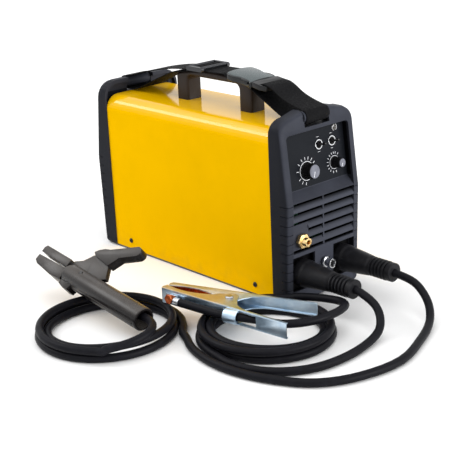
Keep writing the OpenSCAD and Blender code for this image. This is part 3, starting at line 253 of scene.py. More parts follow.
def painted_crown_highlight(m, c, wear):
    """Buckle shell: near black at the sides, with a painted green-grey highlight on its crown."""
    nz = m.normal()[2]
    # painted highlight where the faces turn up
    crown = m.ramp(nz + (m.noise(35, 2) - 0.5) * 0.1, 0.8, 1.02)
    return m.mix((0.011, 0.013, 0.014), (0.072, 0.092, 0.096), crown)


def moulded(name, c, rough, grain, depth, wear, spec, tone=flow_clouds):
    """Moulded plastic: spark-eroded grain and handling polish over its tone."""
    m = Mat(name, c, rough, spec=spec)
    grit = m.noise(grain, 2, 0.6)
    rub = m.noise(11, 5, 0.65)
    m.feed(color=tone(m, c, wear), rough=m.ramp(rub, 0.3, 0.75, rough - 0.06, rough + 0.07)
           + m.ramp(grit, 0.35, 0.7, -0.03, 0.05))
    m.bump(grit, depth, 0.00012)
    return m


def worked_metal(name, c, rough, scratch, grain=(1, 1, 1)):
    """Plated or turned metal: clouded reflection and fine working marks along the grain."""
    m = Mat(name, c, rough, metal=1.0)
    cloud = m.noise(60, 4)
    fine = m.noise(900, 2, 0.6, stretch=grain)
    m.feed(color=m.mix(c, shade(c, 0.78), m.ramp(cloud, 0.38, 0.7)),
           rough=m.ramp(cloud, 0.3, 0.7, rough - 0.05, rough + 0.09)
           + m.ramp(fine, 0.3, 0.7, -scratch / 2, scratch))
    m.bump(fine, 0.18, 0.00006)
    return m


# slot: name, colour, roughness, scale and depth of the grain, wear, specular level, tone
MOULDINGS = {
    "handle_plastic": ("warm_black_grip", (0.020, 0.0135, 0.011), 0.44, 1200, 0.35, 0.18, 0.2),
    "holder_plastic": ("warm_black_holder", (0.010, 0.0084, 0.0084), 0.30, 800, 0.22, 0.3, 0.25,
                       painted_top_highlight),
    "slider_plastic": ("grey_slider", (0.022, 0.023, 0.027), 0.32, 1700, 0.2, 0.1, 0.35),
    "buckle_plastic": ("green_grey_buckle", (0.03, 0.037, 0.037), 0.24, 1300, 0.14, 0.1, 0.3,
                       painted_crown_highlight),
    "buckle_dark": ("black_buckle_plug", (0.008, 0.0085, 0.0095), 0.34, 1300, 0.2, 0.1, 0.25),
    "knob_black": ("black_knob", (0.004, 0.004, 0.0045), 0.42, 1900, 0.2, 0.1, 0.15),
    "lever_black": ("black_lever", (0.004, 0.004, 0.0045), 0.25, 1900, 0.1, 0.1, 0.25),
    "insert_black": ("black_insert", (0.007, 0.007, 0.008), 0.46, 1500, 0.25, 0.12, 0.15),
    "fan_black": ("black_fan_plastic", (0.012, 0.012, 0.0135), 0.42, 1500, 0.2, 0.12, 0.35),
    "rocker_red": ("red_rocker", (0.32, 0.014, 0.01), 0.28, 1900, 0.1, 0.08, 0.5),
    "winding": ("varnished_winding", (0.09, 0.05, 0.025), 0.3, 700, 0.5, 0.3, 0.5),
}

# slot: colour, roughness, depth of the scratches, direction of the grain
METALS = {
    "bright_chrome": ((0.74, 0.75, 0.77), 0.12, 0.05),
    "bright_steel": ((0.5, 0.51, 0.53), 0.25, 0.12),
    "tinned_lug": ((0.58, 0.60, 0.63), 0.26, 0.12),
    "raw_aluminium": ((0.3, 0.305, 0.31), 0.35, 0.12, (1, 0.05, 1)),
}


def powder_coat(c):
    """Yellow powder coat: orange peel, faint smudges, darker and more orange low down; near black
    inside, as painted shade.
    """
    m = Mat("yellow_powder_coat", c, 0.3, coat_rough=0.1, spec=0.0)
    x, _, z = m.xyz()
    nx, _, nz = m.normal()
    case_axis = 0.13
    smudge = m.noise(9, 5, 0.6)
    # darker and more orange towards the bottom, in patches
    low_darkening = m.ramp(z, 0.004, 0.045, 1.0, 0.0) * m.ramp(m.noise(55, 4), 0.42, 0.72)
    outer = (nx * x + nz * (z - case_axis)).above(0.0)
    coat = m.mix(c, shade(c, 0.93), m.ramp(smudge, 0.35, 0.8))
    coat = m.mix(coat, (0.62, 0.36, 0.02), low_darkening * 0.3)
    # inner faces near black: painted shade, so the louvre slots look dark
    m.feed(color=m.mix((0.02, 0.019, 0.018), coat, outer),
           rough=m.ramp(smudge, 0.3, 0.75, 0.25, 0.36), coat=m.ramp(nz, 0.1, 0.7) * outer)
    m.bump(m.noise(420, 2, 0.5), 0.18, 0.00025)
    return m


def slate_moulding(c):
    """End panels, light and shade painted in: pale lit faces and louvre lips, dark slats, recess
    and louvre backs.
    """
    m = Mat("slate_panel_plastic", c, 0.42, spec=0.05)
    x, y, z = m.xyz()
    nx, ny, nz = m.normal()
    lean = math.radians(LEAN)
    ridge_y, ridge_z, undercut = RIDGE_Y * MM, RIDGE_Z * MM, 0.03136
    recess_low, recess_top, grille_top, sill_top = 0.1594, 0.2475, 0.146, 0.1425

    # where on the panel a point is, each from 0 to 1
    face = m.ramp(abs(ny) + nz.max(0.0) * 0.6, 0.45, 0.95)
    within = m.ramp(abs(x), 0.0604, 0.0610, 1.0, 0.0)
    grille = (1 - z.above(grille_top)) * within
    lip_highlight = (1 - z.above(sill_top)) * within
    sunk = (abs(y) - ridge_y) * math.cos(lean) + (z - ridge_z) * math.sin(lean)
    recess = (m.ramp(sunk, -0.0045, -0.0035, 1.0, 0.0) * z.above(recess_low)
              * (1 - z.above(recess_top)) * within)
    slat_shade = m.ramp(ridge_y - (ridge_z - z) * undercut - abs(y), 0.0008, 0.0052) * grille
    behind = m.ramp(abs(y), 0.2030, 0.2040, 1.0, 0.0) * grille

    # the recess: floor darker, side walls near black, as painted shade
    floor = m.mix((0.0085, 0.0098, 0.0128), (0.0012, 0.0012, 0.0015), m.ramp(abs(nx), 0.4, 0.8))
    tone = m.mix(shade(c, 0.9), shade(c, 1.12), m.ramp(m.noise(26, 4), 0.3, 0.7))
    tone = m.mix(shade(c, 0.42), tone, face)
    # painted highlight on the front lips of the louvres
    tone = m.mix(tone, shade(c, 1.5), lip_highlight * 0.8)
    # painted shade on the slats, darker the deeper they lie
    tone = m.mix(tone, shade(c, 0.2), slat_shade)
    tone = m.mix(tone, floor, recess)
    grit = m.noise(1400, 2, 0.6)
    # near black behind the louvres: painted shade
    m.feed(color=m.mix(tone, (0.002, 0.002, 0.0025), behind),
           rough=m.ramp(m.noise(11, 5, 0.65), 0.3, 0.75, 0.36, 0.5)
           + m.ramp(grit, 0.35, 0.7, -0.03, 0.05))
    m.bump(grit, 0.35, 0.00012)
    return m


def zinc_plate():
    """Pressed steel with blue passivation, and a straw tint on the upper cheeks near the jaws."""
    m = Mat("zinc_plate", (0.38, 0.50, 0.64), 0.24, metal=1.0)
    x, y, z = m.xyz()
    nz = m.normal()[2]
    n = m.noise(22, 4, 0.6)
    along = (x + 0.169) * -0.248 + (y + 0.196) * 0.969
    straw = (m.ramp(nz, 0.6, 0.95) * m.ramp(along + (n - 0.5) * 0.03, -0.02, 0.02)
             * m.ramp(z, 0.04, 0.044))
    base = m.mix((0.42, 0.56, 0.70), (0.60, 0.72, 0.82), m.ramp(m.noise(45, 3), 0.35, 0.7))
    fine = m.noise(1500, 2, 0.6, stretch=(1, 0.12, 1))
    m.feed(color=m.mix(base, (0.68, 0.60, 0.47), straw * 0.8),
           rough=m.ramp(n, 0.3, 0.7, 0.30, 0.42) + m.ramp(fine, 0.3, 0.7, -0.03, 0.05))
    m.bump(fine, 0.12, 0.00006)
    return m


def rubber(name, c, rough, spec, cloud, haze, rough_span, grain):
    """Rubber sheath or moulding with a pale haze in patches."""
    return patchy(name, c, rough, (cloud, 4, 0.6), shade(c, haze[0]), shade(c, 2.0),
                  (0.45, 0.85, 0, haze[1]), (0.3, 0.75, *rough_span), grain, spec=spec)


def circuit_board():
    """Green lacquer over raised tracks."""
    m = Mat("lacquered_board", (0.010, 0.06, 0.028), 0.3, coat=0.3)
    x, y, _ = m.xyz()
    track = m.ramp((x * 900).sin() * (y * 620).sin(), 0.1, 0.25)
    m.feed(color=m.mix((0.008, 0.05, 0.022), (0.02, 0.10, 0.045), track),
           rough=m.ramp(m.noise(120, 3), 0.3, 0.7, 0.24, 0.4))
    m.bump(track, 0.2, 0.0001)
    return m


def woven_nylon(c):
    """Ribs across the band broken into twill, tight selvedges. U is across, V along in metres."""
    m = Mat("nylon_webbing", c, 0.6, spec=0.05)
    u, v, _ = m.xyz(m.uv)
    twill = (abs(u * 2 - 1) * 9 + v * 310).frac()
    rows = (v * 620).frac()
    ends = (u * 40).frac()
    weave = abs(twill - 0.5) * 1.1 + (0.6 - abs(rows - 0.5)) * 0.5 - abs(ends - 0.5) ** 2 * 0.8
    m.feed(color=m.mix(shade(c, 0.5), shade(c, 2.3), m.ramp(weave, 0.15, 0.95)),
           rough=m.ramp(m.noise(300, 3), 0.3, 0.7, 0.56, 0.76))
    m.bump(weave, 0.6, 0.0004)
    m.bump(m.noise(2600, 2), 0.25, 0.0001)
    return m


def make_materials(colors):
    """Every material by its slot in the record, and the white of the print."""
    made = {slot: moulded(*row) for slot, row in MOULDINGS.items()}
    made.update({slot: worked_metal(slot, *row) for slot, row in METALS.items()})
    made["yellow_paint"] = powder_coat(tuple(colors.paint))
    made["panel_plastic"] = slate_moulding(tuple(colors.panel))
    made["zinc_plate"] = zinc_plate()
    made["circuit_board"] = circuit_board()
    made["webbing"] = woven_nylon(tuple(colors.webbing))

    made["cable_rubber"] = rubber("cable_sheath", tuple(colors.cable), 0.40, 0.07, 70,
                                  (0.8, 0.5), (0.36, 0.52), ((1100, 2), 0.25, 0.00012))
    made["cable_rubber"].bump(made["cable_rubber"].noise(160, 2), 0.15, 0.0006)
    made["plug_rubber"] = rubber("plug_rubber", (0.0095, 0.0095, 0.0115), 0.44, 0.15, 90,
                                 (0.85, 0.6), (0.38, 0.55), ((1000, 2), 0.3, 0.00014))
    made["pan_steel"] = patchy(
        "pan_zinc_paint", (0.10, 0.102, 0.105), 0.5, (40, 4), (0.08, 0.082, 0.085),
        (0.13, 0.132, 0.135), (0.3, 0.7), (0.3, 0.7, 0.42, 0.6), ((500, 2), 0.2, 0.0002), spec=0.3)
    made["knob_grey"] = patchy(
        "lilac_knob_face", (0.13, 0.135, 0.165), 0.36, (160, 3), (0.11, 0.115, 0.142),
        (0.15, 0.155, 0.19), (0.3, 0.7), (0.3, 0.7, 0.3, 0.42), ((1900, 2), 0.15, 0.0001), spec=0.3)
    made["black_steel"] = patchy(
        "black_oxide_steel", (0.012, 0.012, 0.013), 0.36, (400, 3), (0.008, 0.008, 0.009),
        (0.026, 0.025, 0.024), (0.4, 0.75), (0.3, 0.7, 0.3, 0.5), metal=0.5)
    made["copper"] = patchy(
        "formed_copper", (0.52, 0.13, 0.045), 0.3, (140, 5, 0.65), (0.62, 0.16, 0.05),
        (0.26, 0.045, 0.014), (0.4, 0.68), (0.3, 0.75, 0.24, 0.5),
        ((140, 5, 0.65), 0.25, 0.0002), metal=1.0)
    made["lens_amber"] = patchy(
        "unlit_lens", (0.02, 0.014, 0.008), 0.08, (300, 2), (0.016, 0.011, 0.006),
        (0.03, 0.02, 0.01), (0.3, 0.7), coat=0.8, coat_rough=0.04)
    made["white_print"] = patchy(
        "white_print", (0.66, 0.67, 0.70), 0.5, (900, 3), (0.58, 0.59, 0.62),
        (0.74, 0.75, 0.78), (0.3, 0.6), spec=0.3)

    brass = made["brass_fitting"] = patchy(
        "machined_brass", (0.80, 0.56, 0.24), 0.2, (180, 4), (0.86, 0.62, 0.29),
        (0.52, 0.30, 0.09), (0.45, 0.8), (0.3, 0.75, 0.14, 0.36), metal=1.0)
    turning_marks = (brass.xyz()[1] * 9000).sin()
    brass.bump(turning_marks, 0.10, 0.00003)

    return {slot: m.mat for slot, m in made.items()}


# ---- mesh helpers

def set_edges(bm, smooth):
    """Smooth faces with edges sharper than the given angle kept crisp."""
    for f in bm.faces:
        f.smooth = True
    for e in bm.edges:
        e.smooth = len(e.link_faces) == 2 and e.calc_face_angle(0.0) < math.radians(smooth)


def new_object(name, bm, mat, smooth=35.0):
    """The finished piece: its normals outward, its mesh in an object at the origin."""
    me = bpy.data.meshes.new(name)
    bmesh.ops.recalc_face_normals(bm, faces=bm.faces)
    set_edges(bm, smooth)
    bm.to_mesh(me)
    bm.free()
    ob = bpy.data.objects.new(name, me)
    bpy.context.scene.collection.objects.link(ob)
    me.materials.append(mat)
    return ob


def stand_in(ob, *nodes):
    """Lets a new piece take the place of CAD nodes that move together."""
    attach(ob, BODY[nodes[0]])
    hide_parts(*nodes)
    for n in nodes:
        SHOWN[n] = ob
    return ob


def addition(name, bm, mat, body):
    """A new piece beside the CAD nodes, such as print on the panel."""
    ob = new_object(name, bm, MATS[mat])
    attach(ob, body)
    return ob


def merged(node):
    """A node's mesh with its loose triangles joined."""
    bm = bmesh.new()
    bm.from_mesh(NODES[node].data)
    bmesh.ops.remove_doubles(bm, verts=bm.verts, dist=2e-6)
    return bm


def from_node(node):
    """A node's mesh joined, with its flat faces made whole."""
    bm = merged(node)
    bmesh.ops.dissolve_limit(bm, angle_limit=math.radians(1.0), verts=bm.verts, edges=bm.edges)
    return bm


def corners(bm, angle):
    """Edges where two faces meet at more than the given angle."""
    return [e for e in bm.edges
            if len(e.link_faces) == 2 and e.calc_face_angle(0.0) > math.radians(angle)]


def rounded(bm, edges, radius, segments):
    """Round the given edges, radius in mm."""
    bmesh.ops.bevel(bm, geom=edges, offset=radius * MM, offset_type="OFFSET",
                    segments=segments, profile=0.5, affect="EDGES", clamp_overlap=True,
                    material=-1)


def soften(node, radius):
    """Replace a node by a copy with its sharp edges rounded, radius in mm."""
    bm = from_node(node)
    rounded(bm, corners(bm, 28), radius, 2)
    stand_in(new_object(node + "_rounded", bm, MATS[SLOT[node]], 40), node)


def new_verts(geom):
    """The vertices among what an operator made."""
    return [g for g in geom if isinstance(g, bmesh.types.BMVert)]


def drawn_out(points, vec):
    """A solid: the flat outline through points, extruded by vec, all in mm."""
    bm = bmesh.new()
    side = bm.faces.new([bm.verts.new([c * MM for c in p]) for p in points])
    far = bmesh.ops.extrude_face_region(bm, geom=[side], use_keep_orig=True)["geom"]
    bmesh.ops.translate(bm, vec=[c * MM for c in vec], verts=new_verts(far))
    bmesh.ops.recalc_face_normals(bm, faces=bm.faces)
    return bm


def arc(cx, cy, r, a0, a1, n):
    """Points in n steps along an arc, its angles in degrees."""
    turn = [math.radians(a0 + (a1 - a0) * k / n) for k in range(n + 1)]
    return [(cx + r * math.cos(a), cy + r * math.sin(a)) for a in turn]


def lathe(bm, profile, at, steps=48):
    """Spin a closed profile of (radius, height) in mm about the Z axis of `at`."""
    before = set(bm.verts)
    vs = [bm.verts.new((r * MM, 0, h * MM)) for r, h in profile]
    es = [bm.edges.new((a, b)) for a, b in zip(vs, vs[1:] + vs[:1])]
    bmesh.ops.spin(bm, geom=vs + es, cent=(0, 0, 0), axis=(0, 0, 1), angle=2 * math.pi,
                   steps=steps, use_merge=True)
    bmesh.ops.remove_doubles(bm, verts=[v for v in bm.verts if v not in before], dist=1e-6)
    bmesh.ops.transform(bm, matrix=at, verts=[v for v in bm.verts if v not in before])


def block(bm, size, at):
    """A small box of the given size in mm, centred on `at`."""
    bmesh.ops.create_cube(bm, size=1.0, matrix=at @ Matrix.Diagonal([s * MM for s in size] + [1]))


def turned(deg, axis="Z"):
    """A turn about an axis through the origin."""
    return Matrix.Rotation(math.radians(deg), 4, axis)


def moved(x, y, z):
    """A shift in mm."""
    return Matrix.Translation((x * MM, y * MM, z * MM))


# the floor of the control recess: X right, Y up the panel, Z out of it
CONTROLS = moved(0, -RIDGE_Y, RIDGE_Z) @ turned(90 - LEAN, "X") @ moved(0, 0, -RECESS)
BIG_KNOB, SMALL_KNOB = (-18, 39), (37, 39)
TOGGLES = ((9, 70), (35, 70))
LENS = (43, 87)


def on_controls(at, rise=0.0):
    """A place on the recess floor, raised by `rise`, in mm."""
    return CONTROLS @ moved(at[0], at[1], rise)


# ---- routes, in mm

def catmull(p, n):
    """Points of a smooth curve through p, n to a span."""
    p = [Vector(q) for q in p]
    out = []
    for i in range(len(p) - 1):
        a = 2 * p[0] - p[1] if i == 0 else p[i - 1]
        b, c = p[i], p[i + 1]
        d = 2 * p[i + 1] - p[i] if i == len(p) - 2 else p[i + 2]
        for k in range(n):
            t = k / n
            out.append(0.5 * (2 * b + (c - a) * t + (2 * a - 5 * b + 4 * c - d) * t * t
                              + (3 * b - a - 3 * c + d) * t ** 3))
    return out + [p[-1]]


CABLE = 11.0
PITCH = 11.6
PLUG_END = 300.3
CABLE_START = 292.3
FLOOR_UP = CABLE / 2


def coil(centre, radius, start, sense, turns, back):
    """Points and end directions of a coil in two layers: in along the floor for `back` turns,
    up over half a turn, then out on top. Starts at `start` degrees; sense 1 is anticlockwise."""
    def angle(t):
        return math.radians(start + sense * 360 * t)

    def point(t):
        r = radius - PITCH * t if t < back else radius - PITCH * (2 * back - t)
        q = min(1.0, max(0.0, 2 * (t - back) + 0.5))
        return Vector((centre[0] + r * math.cos(angle(t)), centre[1] + r * math.sin(angle(t)),
                       FLOOR_UP + PITCH * q * q * (3 - 2 * q)))

    def way(t):
        return Vector((-sense * math.sin(angle(t)), sense * math.cos(angle(t)), 0.0))

    n = math.ceil(24 * turns)
    return [point(turns * k / n) for k in range(n + 1)], way(0), way(turns)


def route(socket, drop, lead, spiral, tail, end):
    """Control points of a whole cable from its plug through the coil to its tool."""
    body, d0, d1 = spiral
    first, last = body[0] - CABLE * d0, body[-1] + CABLE * d1
    start = [(socket[0], -CABLE_START, socket[1]), (socket[0], -PLUG_END - 4, socket[1] - drop)]
    return [Vector(p) for p in start + lead + [first - CABLE * d0, first] + body
            + [last, last + CABLE * d1] + tail + [end]]


# the electrode holder: its middle, its own frame with Y along the barrel, and where it grips
HOLDER_AT = (-267, -138, 27)
HOLDER = moved(*HOLDER_AT) @ turned(-1.9) @ turned(5.66, "X") @ turned(50, "Y")
HOLDER_DIR = (HOLDER.to_3x3() @ Vector((0, 1, 0))).normalized()
HOLDER_CABLE_END = 54.7

ELECTRODE_SOCKET, EARTH_SOCKET = (40, 43), (-40, 43)
ELECTRODE_LEAD = [
    (40, -334, 38), (34, -356, 28), (22, -374, 18),
    (0, -391, 9), (-41, -410, 6), (-104, -430, 5.5), (-168, -422, 5.5), (-216, -396, 5.5),
    (-245, -352, 5.5), (-261, -300, 5.5), (-262, -255, 5.5), (-252, -214, 5.5),
    (-236, -184, 5.5)]
ELECTRODE_TAIL = [
    (-346, -160, 19), (-322, -174, 23.5), (-297, -178, 27.6), (-277, -168, 29.6),
    (-266.5, -147, 29.8), (-265.5, -122, 29.8), (-265.2, -100, 30.8)]
EARTH_LEAD = [
    (-42, -334, 33), (-49, -350, 22), (-66, -362, 11),
    (-100, -370, 6.2), (-145, -374, 5.5), (-188, -367, 5.5), (-222, -346, 5.5),
    (-243, -315, 5.5), (-250, -280, 5.5)]
EARTH_TAIL = [
    (-67, -217, 18.5), (-57, -240, 21), (-53, -264, 24), (-54, -286, 27), (-63, -303, 29.5),
    (-84, -313, 31.5), (-106, -316.5, 33), (-126, -316, 33.6), (-146, -308.5, 33.6),
    (-161, -298, 33.6)]

# the earth clamp: its middle, and the web of its fixed half from the jaw back to the grip
CLAMP_AT = (-169, -196, 33.6)
CLAMP_TURN = math.atan2(0.969, -0.248)
JAW_END, WEB_RUN, JAW_HALF, GRIP_HALF = 100, 209.0, 13.5, 40
WEB = math.atan((GRIP_HALF - JAW_HALF) / WEB_RUN)


def in_clamp(u, off):
    """A point u along the clamp and `off` from its fixed half's web."""
    v = -JAW_HALF - (JAW_END - u) * math.tan(WEB) + off * math.cos(WEB)
    u = u - off * math.sin(WEB)
    c, s = math.cos(CLAMP_TURN), math.sin(CLAMP_TURN)
    return Vector((CLAMP_AT[0] + u * c + v * s, CLAMP_AT[1] + u * s - v * c, CLAMP_AT[2]))


LUG_U, LUG_OFF = 62, -6.2
CLAMP_RUN = [in_clamp(*q) for q in (
    (-85, 13), (-67, 9.8), (-52, 6), (-36, 1.5), (-22, -3.2), (-8, -5.9),
    (8, LUG_OFF), (32, LUG_OFF), (LUG_U - CABLE, LUG_OFF))]


def electrode_route():
    """From the right-hand socket through its coil into the holder's barrel."""
    spiral = coil((-287, -87), radius=98, start=-42, sense=1, turns=2.714, back=1.6)
    return route(ELECTRODE_SOCKET, 0.2, ELECTRODE_LEAD, spiral, ELECTRODE_TAIL,
                 Vector(HOLDER_AT) + HOLDER_DIR * HOLDER_CABLE_END)


def earth_route():
    """From the left-hand socket through its coil and along the clamp to its lug."""
    spiral = coil((-155, -252.5), radius=90, start=170, sense=-1, turns=3.361, back=1.7)
    return route(EARTH_SOCKET, 0.4, EARTH_LEAD, spiral, EARTH_TAIL + CLAMP_RUN,
                 in_clamp(LUG_U, LUG_OFF))


def make_cord(name, pts, nodes):
    """A round cable as one open spline, with handles that curve it smoothly through its points."""
    cu = bpy.data.curves.new(name, "CURVE")
    cu.dimensions = "3D"
    cu.resolution_u = 4
    cu.bevel_depth = CABLE / 2 * MM
    cu.bevel_resolution = 5
    cu.use_fill_caps = True
    sp = cu.splines.new("BEZIER")
    sp.bezier_points.add(len(pts) - 1)
    for i, (q, p) in enumerate(zip(sp.bezier_points, pts)):
        prior, later = pts[max(i - 1, 0)], pts[min(i + 1, len(pts) - 1)]
        way = later - prior
        if 0 < i < len(pts) - 1:
            # unequal spans: each handle keeps to a third of its own span
            way.normalize()
            back, ahead = way * (p - prior).length / 3, way * (later - p).length / 3
        else:
            back = ahead = way / 3
        q.co, q.handle_left, q.handle_right = p * MM, (p - back) * MM, (p + ahead) * MM
        q.handle_left_type = q.handle_right_type = "FREE"
    ob = bpy.data.objects.new(name, cu)
    bpy.context.scene.collection.objects.link(ob)
    cu.materials.append(MATS["cable_rubber"])
    stand_in(ob, *nodes)


# ---- webbing paths: (Y, Z) in mm

REAR_END, FRONT_END, GRIP_MID, GRIP_TOP, GRIP_SAG = 74.5, -86.5, -6.0, 292, 9
COVER_H, GRIP_UNDER = 244.0, 281.5
HALF_BAND, CLEAR, HALF_BAR = 0.9, 0.3, 2.2
BUCKLE_Y, BUCKLE_Z, BUCKLE_TILT = -88, 290.8, 9.2
BUCKLE = moved(0, BUCKLE_Y, BUCKLE_Z) @ turned(BUCKLE_TILT, "X")
BAR_Y, BAR_Z, LOOP_R = 192.5, 255.6, 9.2
SLIDER_Y = 17.0


def grip_top(y):
    """Height of the handle's crowned top."""
    return GRIP_TOP - GRIP_SAG * ((y - GRIP_MID) / 80.5) ** 2


def layer(y):
    """Height of a band that lies on the handle."""
    return grip_top(y) + CLEAR + HALF_BAND


def buckle_yz(a, b):
    """A point a along the buckle and b above its middle."""
    t = math.radians(BUCKLE_TILT)
    return (BUCKLE_Y + a * math.cos(t) - b * math.sin(t),
            BUCKLE_Z + a * math.sin(t) + b * math.cos(t))


SLIDER_Z = layer(SLIDER_Y) + HALF_BAND + CLEAR + HALF_BAR
OVER = SLIDER_Z + HALF_BAR + CLEAR + HALF_BAND
UNDER = SLIDER_Z + 2.6 - HALF_BAR - CLEAR - HALF_BAND
REAR_PATH = (
    [(y, layer(y)) for y in (11, 24, 40, 58)]
    + [(70, layer(70) + 0.3), (77, 284), (88, 279.6), (120, 266.5), (156, 251),
       (175, BAR_Z - LOOP_R + 0.4)]
    + arc(BAR_Y, BAR_Z, LOOP_R, -88, 80, 7)
    + [(176, BAR_Z + LOOP_R + 3.2), (128, 280.2), (84, 288.6), (46, layer(46) + 3.4),
       (SLIDER_Y + 18.5, UNDER - 0.4), (SLIDER_Y + 10.5, UNDER + 0.1), (SLIDER_Y, OVER),
       (SLIDER_Y - 10.5, UNDER + 0.1), (SLIDER_Y - 18.5, UNDER - 0.4), (-22, 294.9)]
    + [buckle_yz(*q) for q in ((50, -3.6), (42.5, -5.5), (37, -5.8), (33.6, -4.6), (32.75, -1),
                               (32.75, 2.6))])
FRONT_PATH = (
    [(-60, layer(-60)), (-72, layer(-72)), (-82, layer(-82) + 0.4), (-89, 283.4),
     (-100, 278.6), (-117, 269.6), (-150, 252.4), (-164, 247.8), (-176, BAR_Z - LOOP_R + 0.3)]
    + arc(-BAR_Y, BAR_Z, LOOP_R, 268, 100, 7)
    + [(-176, BAR_Z + LOOP_R + 4), (-156, 275.4)]
    + [buckle_yz(*q) for q in ((-52, 2), (-44, 4.3), (-38, 4.9), (-31.6, 4.4), (-29.5, 1),
                               (-29.5, -2.6))])


def webbing(name, path, width, thick, node):
    """Woven band: a flat ring with thin selvedges, extruded along the path."""
    pts = catmull([(0, a, b) for a, b in path], 5)
    selvedge, thinned = 0.9, 0.45
    rim = [(s * width / 2, thick / 2 * (1 - max(0.0, (abs(s) - selvedge) / 0.1) * thinned),
            (s + 1) / 2) for s in (-1, -0.95, -0.9, -0.5, 0, 0.5, 0.9, 0.95, 1)]
    rim = rim + [(x, -h, u) for x, h, u in reversed(rim)]
    bm = bmesh.new()
    across = bm.verts.layers.float.new("across")
    along = bm.verts.layers.float.new("along")
    ring = [bm.verts.new((x, 0, h)) for x, h, u in rim]
    edges = [bm.edges.new((a, b)) for a, b in zip(ring, ring[1:] + ring[:1])]
    bmesh.ops.contextual_create(bm, geom=edges)
    run = 0.0
    for i, p in enumerate(pts):
        if i:
            run += (p - pts[i - 1]).length
            out = bmesh.ops.extrude_edge_only(bm, edges=edges)["geom"]
            edges = [g for g in out
                     if isinstance(g, bmesh.types.BMEdge) and len(g.link_faces) == 1]
            fresh = {v for e in edges for v in e.verts}
            after = {next(e.other_vert(v) for e in v.link_edges if e.other_vert(v) not in fresh): v
                     for v in fresh}
            ring = [after[v] for v in ring]
        t = (pts[min(i + 1, len(pts) - 1)] - pts[max(i - 1, 0)]).normalized()
        rise = Vector((0, -t.z, t.y))
        for v, (x, h, u) in zip(ring, rim):
            v.co = (p + Vector((x, 0, 0)) + rise * h) * MM
            v[across] = u
            v[along] = run * MM
    bmesh.ops.contextual_create(bm, geom=edges)
    uv = bm.loops.layers.uv.new("UVMap")
    for f in bm.faces:
        for lp in f.loops:
            lp[uv].uv = (lp.vert[across], lp.vert[along])
    stand_in(new_object(name, bm, MATS["webbing"], 50), node)


# ---- pieces

def clothe_nodes():
    """Materials, and crisp or smooth edges, on the CAD nodes."""
    blackened = {"holder_pivot_pin": "black_steel"}
    for n, ob in NODES.items():
        mat = MATS[blackened.get(n, SLOT[n])]
        if not ob.material_slots:
            ob.data.materials.append(mat)
        for s in ob.material_slots:
            s.material = mat
        bm = bmesh.new()
        bm.from_mesh(ob.data)
        set_edges(bm, 36)
        bm.to_mesh(ob.data)
        bm.free()


def front_panel():
    """The front moulding with its upper corners drawn down and its recess edges rounded."""
    strap_notch, brow, brow_high, droop = 0.0262, 0.222, 0.042, 0.006
    recess_low, recess_top, recess_half, recess_back = 0.150, 0.245, 0.0612, -0.197
    bm = from_node("front_panel")
    for v in bm.verts:
        if abs(v.co.x) > strap_notch and v.co.z > brow:
            v.co.z -= droop * ((v.co.z - brow) / brow_high) ** 1.3

    def in_recess(co):
        return recess_low < co.z < recess_top and abs(co.x) < recess_half and co.y < recess_back

    rounded(bm, [e for e in corners(bm, 50) if all(in_recess(v.co) for v in e.verts)], 0.7, 2)
    stand_in(new_object("front_moulding", bm, MATS["panel_plastic"], 36), "front_panel")


def handle():
    """Carry handle: its side view extruded across and every outer edge rounded."""
    width, leg, crook, edge, steps = 27.6, 25, 8, 3.6, 16
    front_leg, rear_leg = FRONT_END + leg, REAR_END - leg
    top = [REAR_END + (FRONT_END - REAR_END) * k / steps for k in range(steps + 1)]
    side = [(REAR_END, COVER_H)] + [(y, grip_top(y)) for y in top]
    side += [(FRONT_END, COVER_H), (front_leg, COVER_H)]
    side += arc(front_leg + crook, GRIP_UNDER - crook, crook, 180, 90, 5)
    side += arc(rear_leg - crook, GRIP_UNDER - crook, crook, 90, 0, 5)
    side += [(rear_leg, COVER_H)]
    bm = drawn_out([(-width / 2, y, z) for y, z in side], (width, 0, 0))
    edges = [e for e in bm.edges if abs(e.verts[0].co.x - e.verts[1].co.x) < 1e-6
             and max(v.co.z for v in e.verts) > (COVER_H + 1) * MM]
    edges += [e for e in corners(bm, 40) if abs(e.verts[0].co.x - e.verts[1].co.x) > 1e-3
              and e.verts[0].co.z > 0.26]
    rounded(bm, edges, edge, 4)
    stand_in(new_object("handle_moulding", bm, MATS["handle_plastic"], 40), "carry_handle")


def buckle_socket():
    """Shell of the buckle: its plan extruded, crowned, and drawn in at the sides by the prongs."""
    half_width, base, high, crown, lip = 27, -4.3, 8.7, 2.4, 3.2
    flank = [(27, 22), (25, 17), (23.6, 11), (23.4, 1), (24.6, -6), (26.6, -10), (25, -12)]
    plan = arc(20, 33, 7, 0, 90, 6) + arc(-20, 33, 7, 90, 180, 6)
    plan += [(-x, y) for x, y in flank] + flank[::-1]
    bm = drawn_out([(x, y, base) for x, y in plan], (0, 0, high))
    rims = [e for e in bm.edges if abs(e.verts[0].co.z - e.verts[1].co.z) < 1e-6]
    rounded(bm, rims, 2.6, 4)
    for i in range(-5, 6):
        bmesh.ops.bisect_plane(bm, geom=bm.verts[:] + bm.edges[:] + bm.faces[:], dist=1e-7,
                               plane_co=(i * 4.4 * MM, 0, 0), plane_no=(1, 0, 0))
    for v in bm.verts:
        if v.co.z > 0:
            v.co.z -= crown * MM * (v.co.x / (half_width * MM)) ** 2
        elif abs(v.co.x) > 22.6 * MM:
            v.co.z -= lip * MM
    bmesh.ops.transform(bm, matrix=BUCKLE, verts=bm.verts)
    stand_in(new_object("buckle_shell", bm, MATS["buckle_plastic"], 40), "buckle_socket")


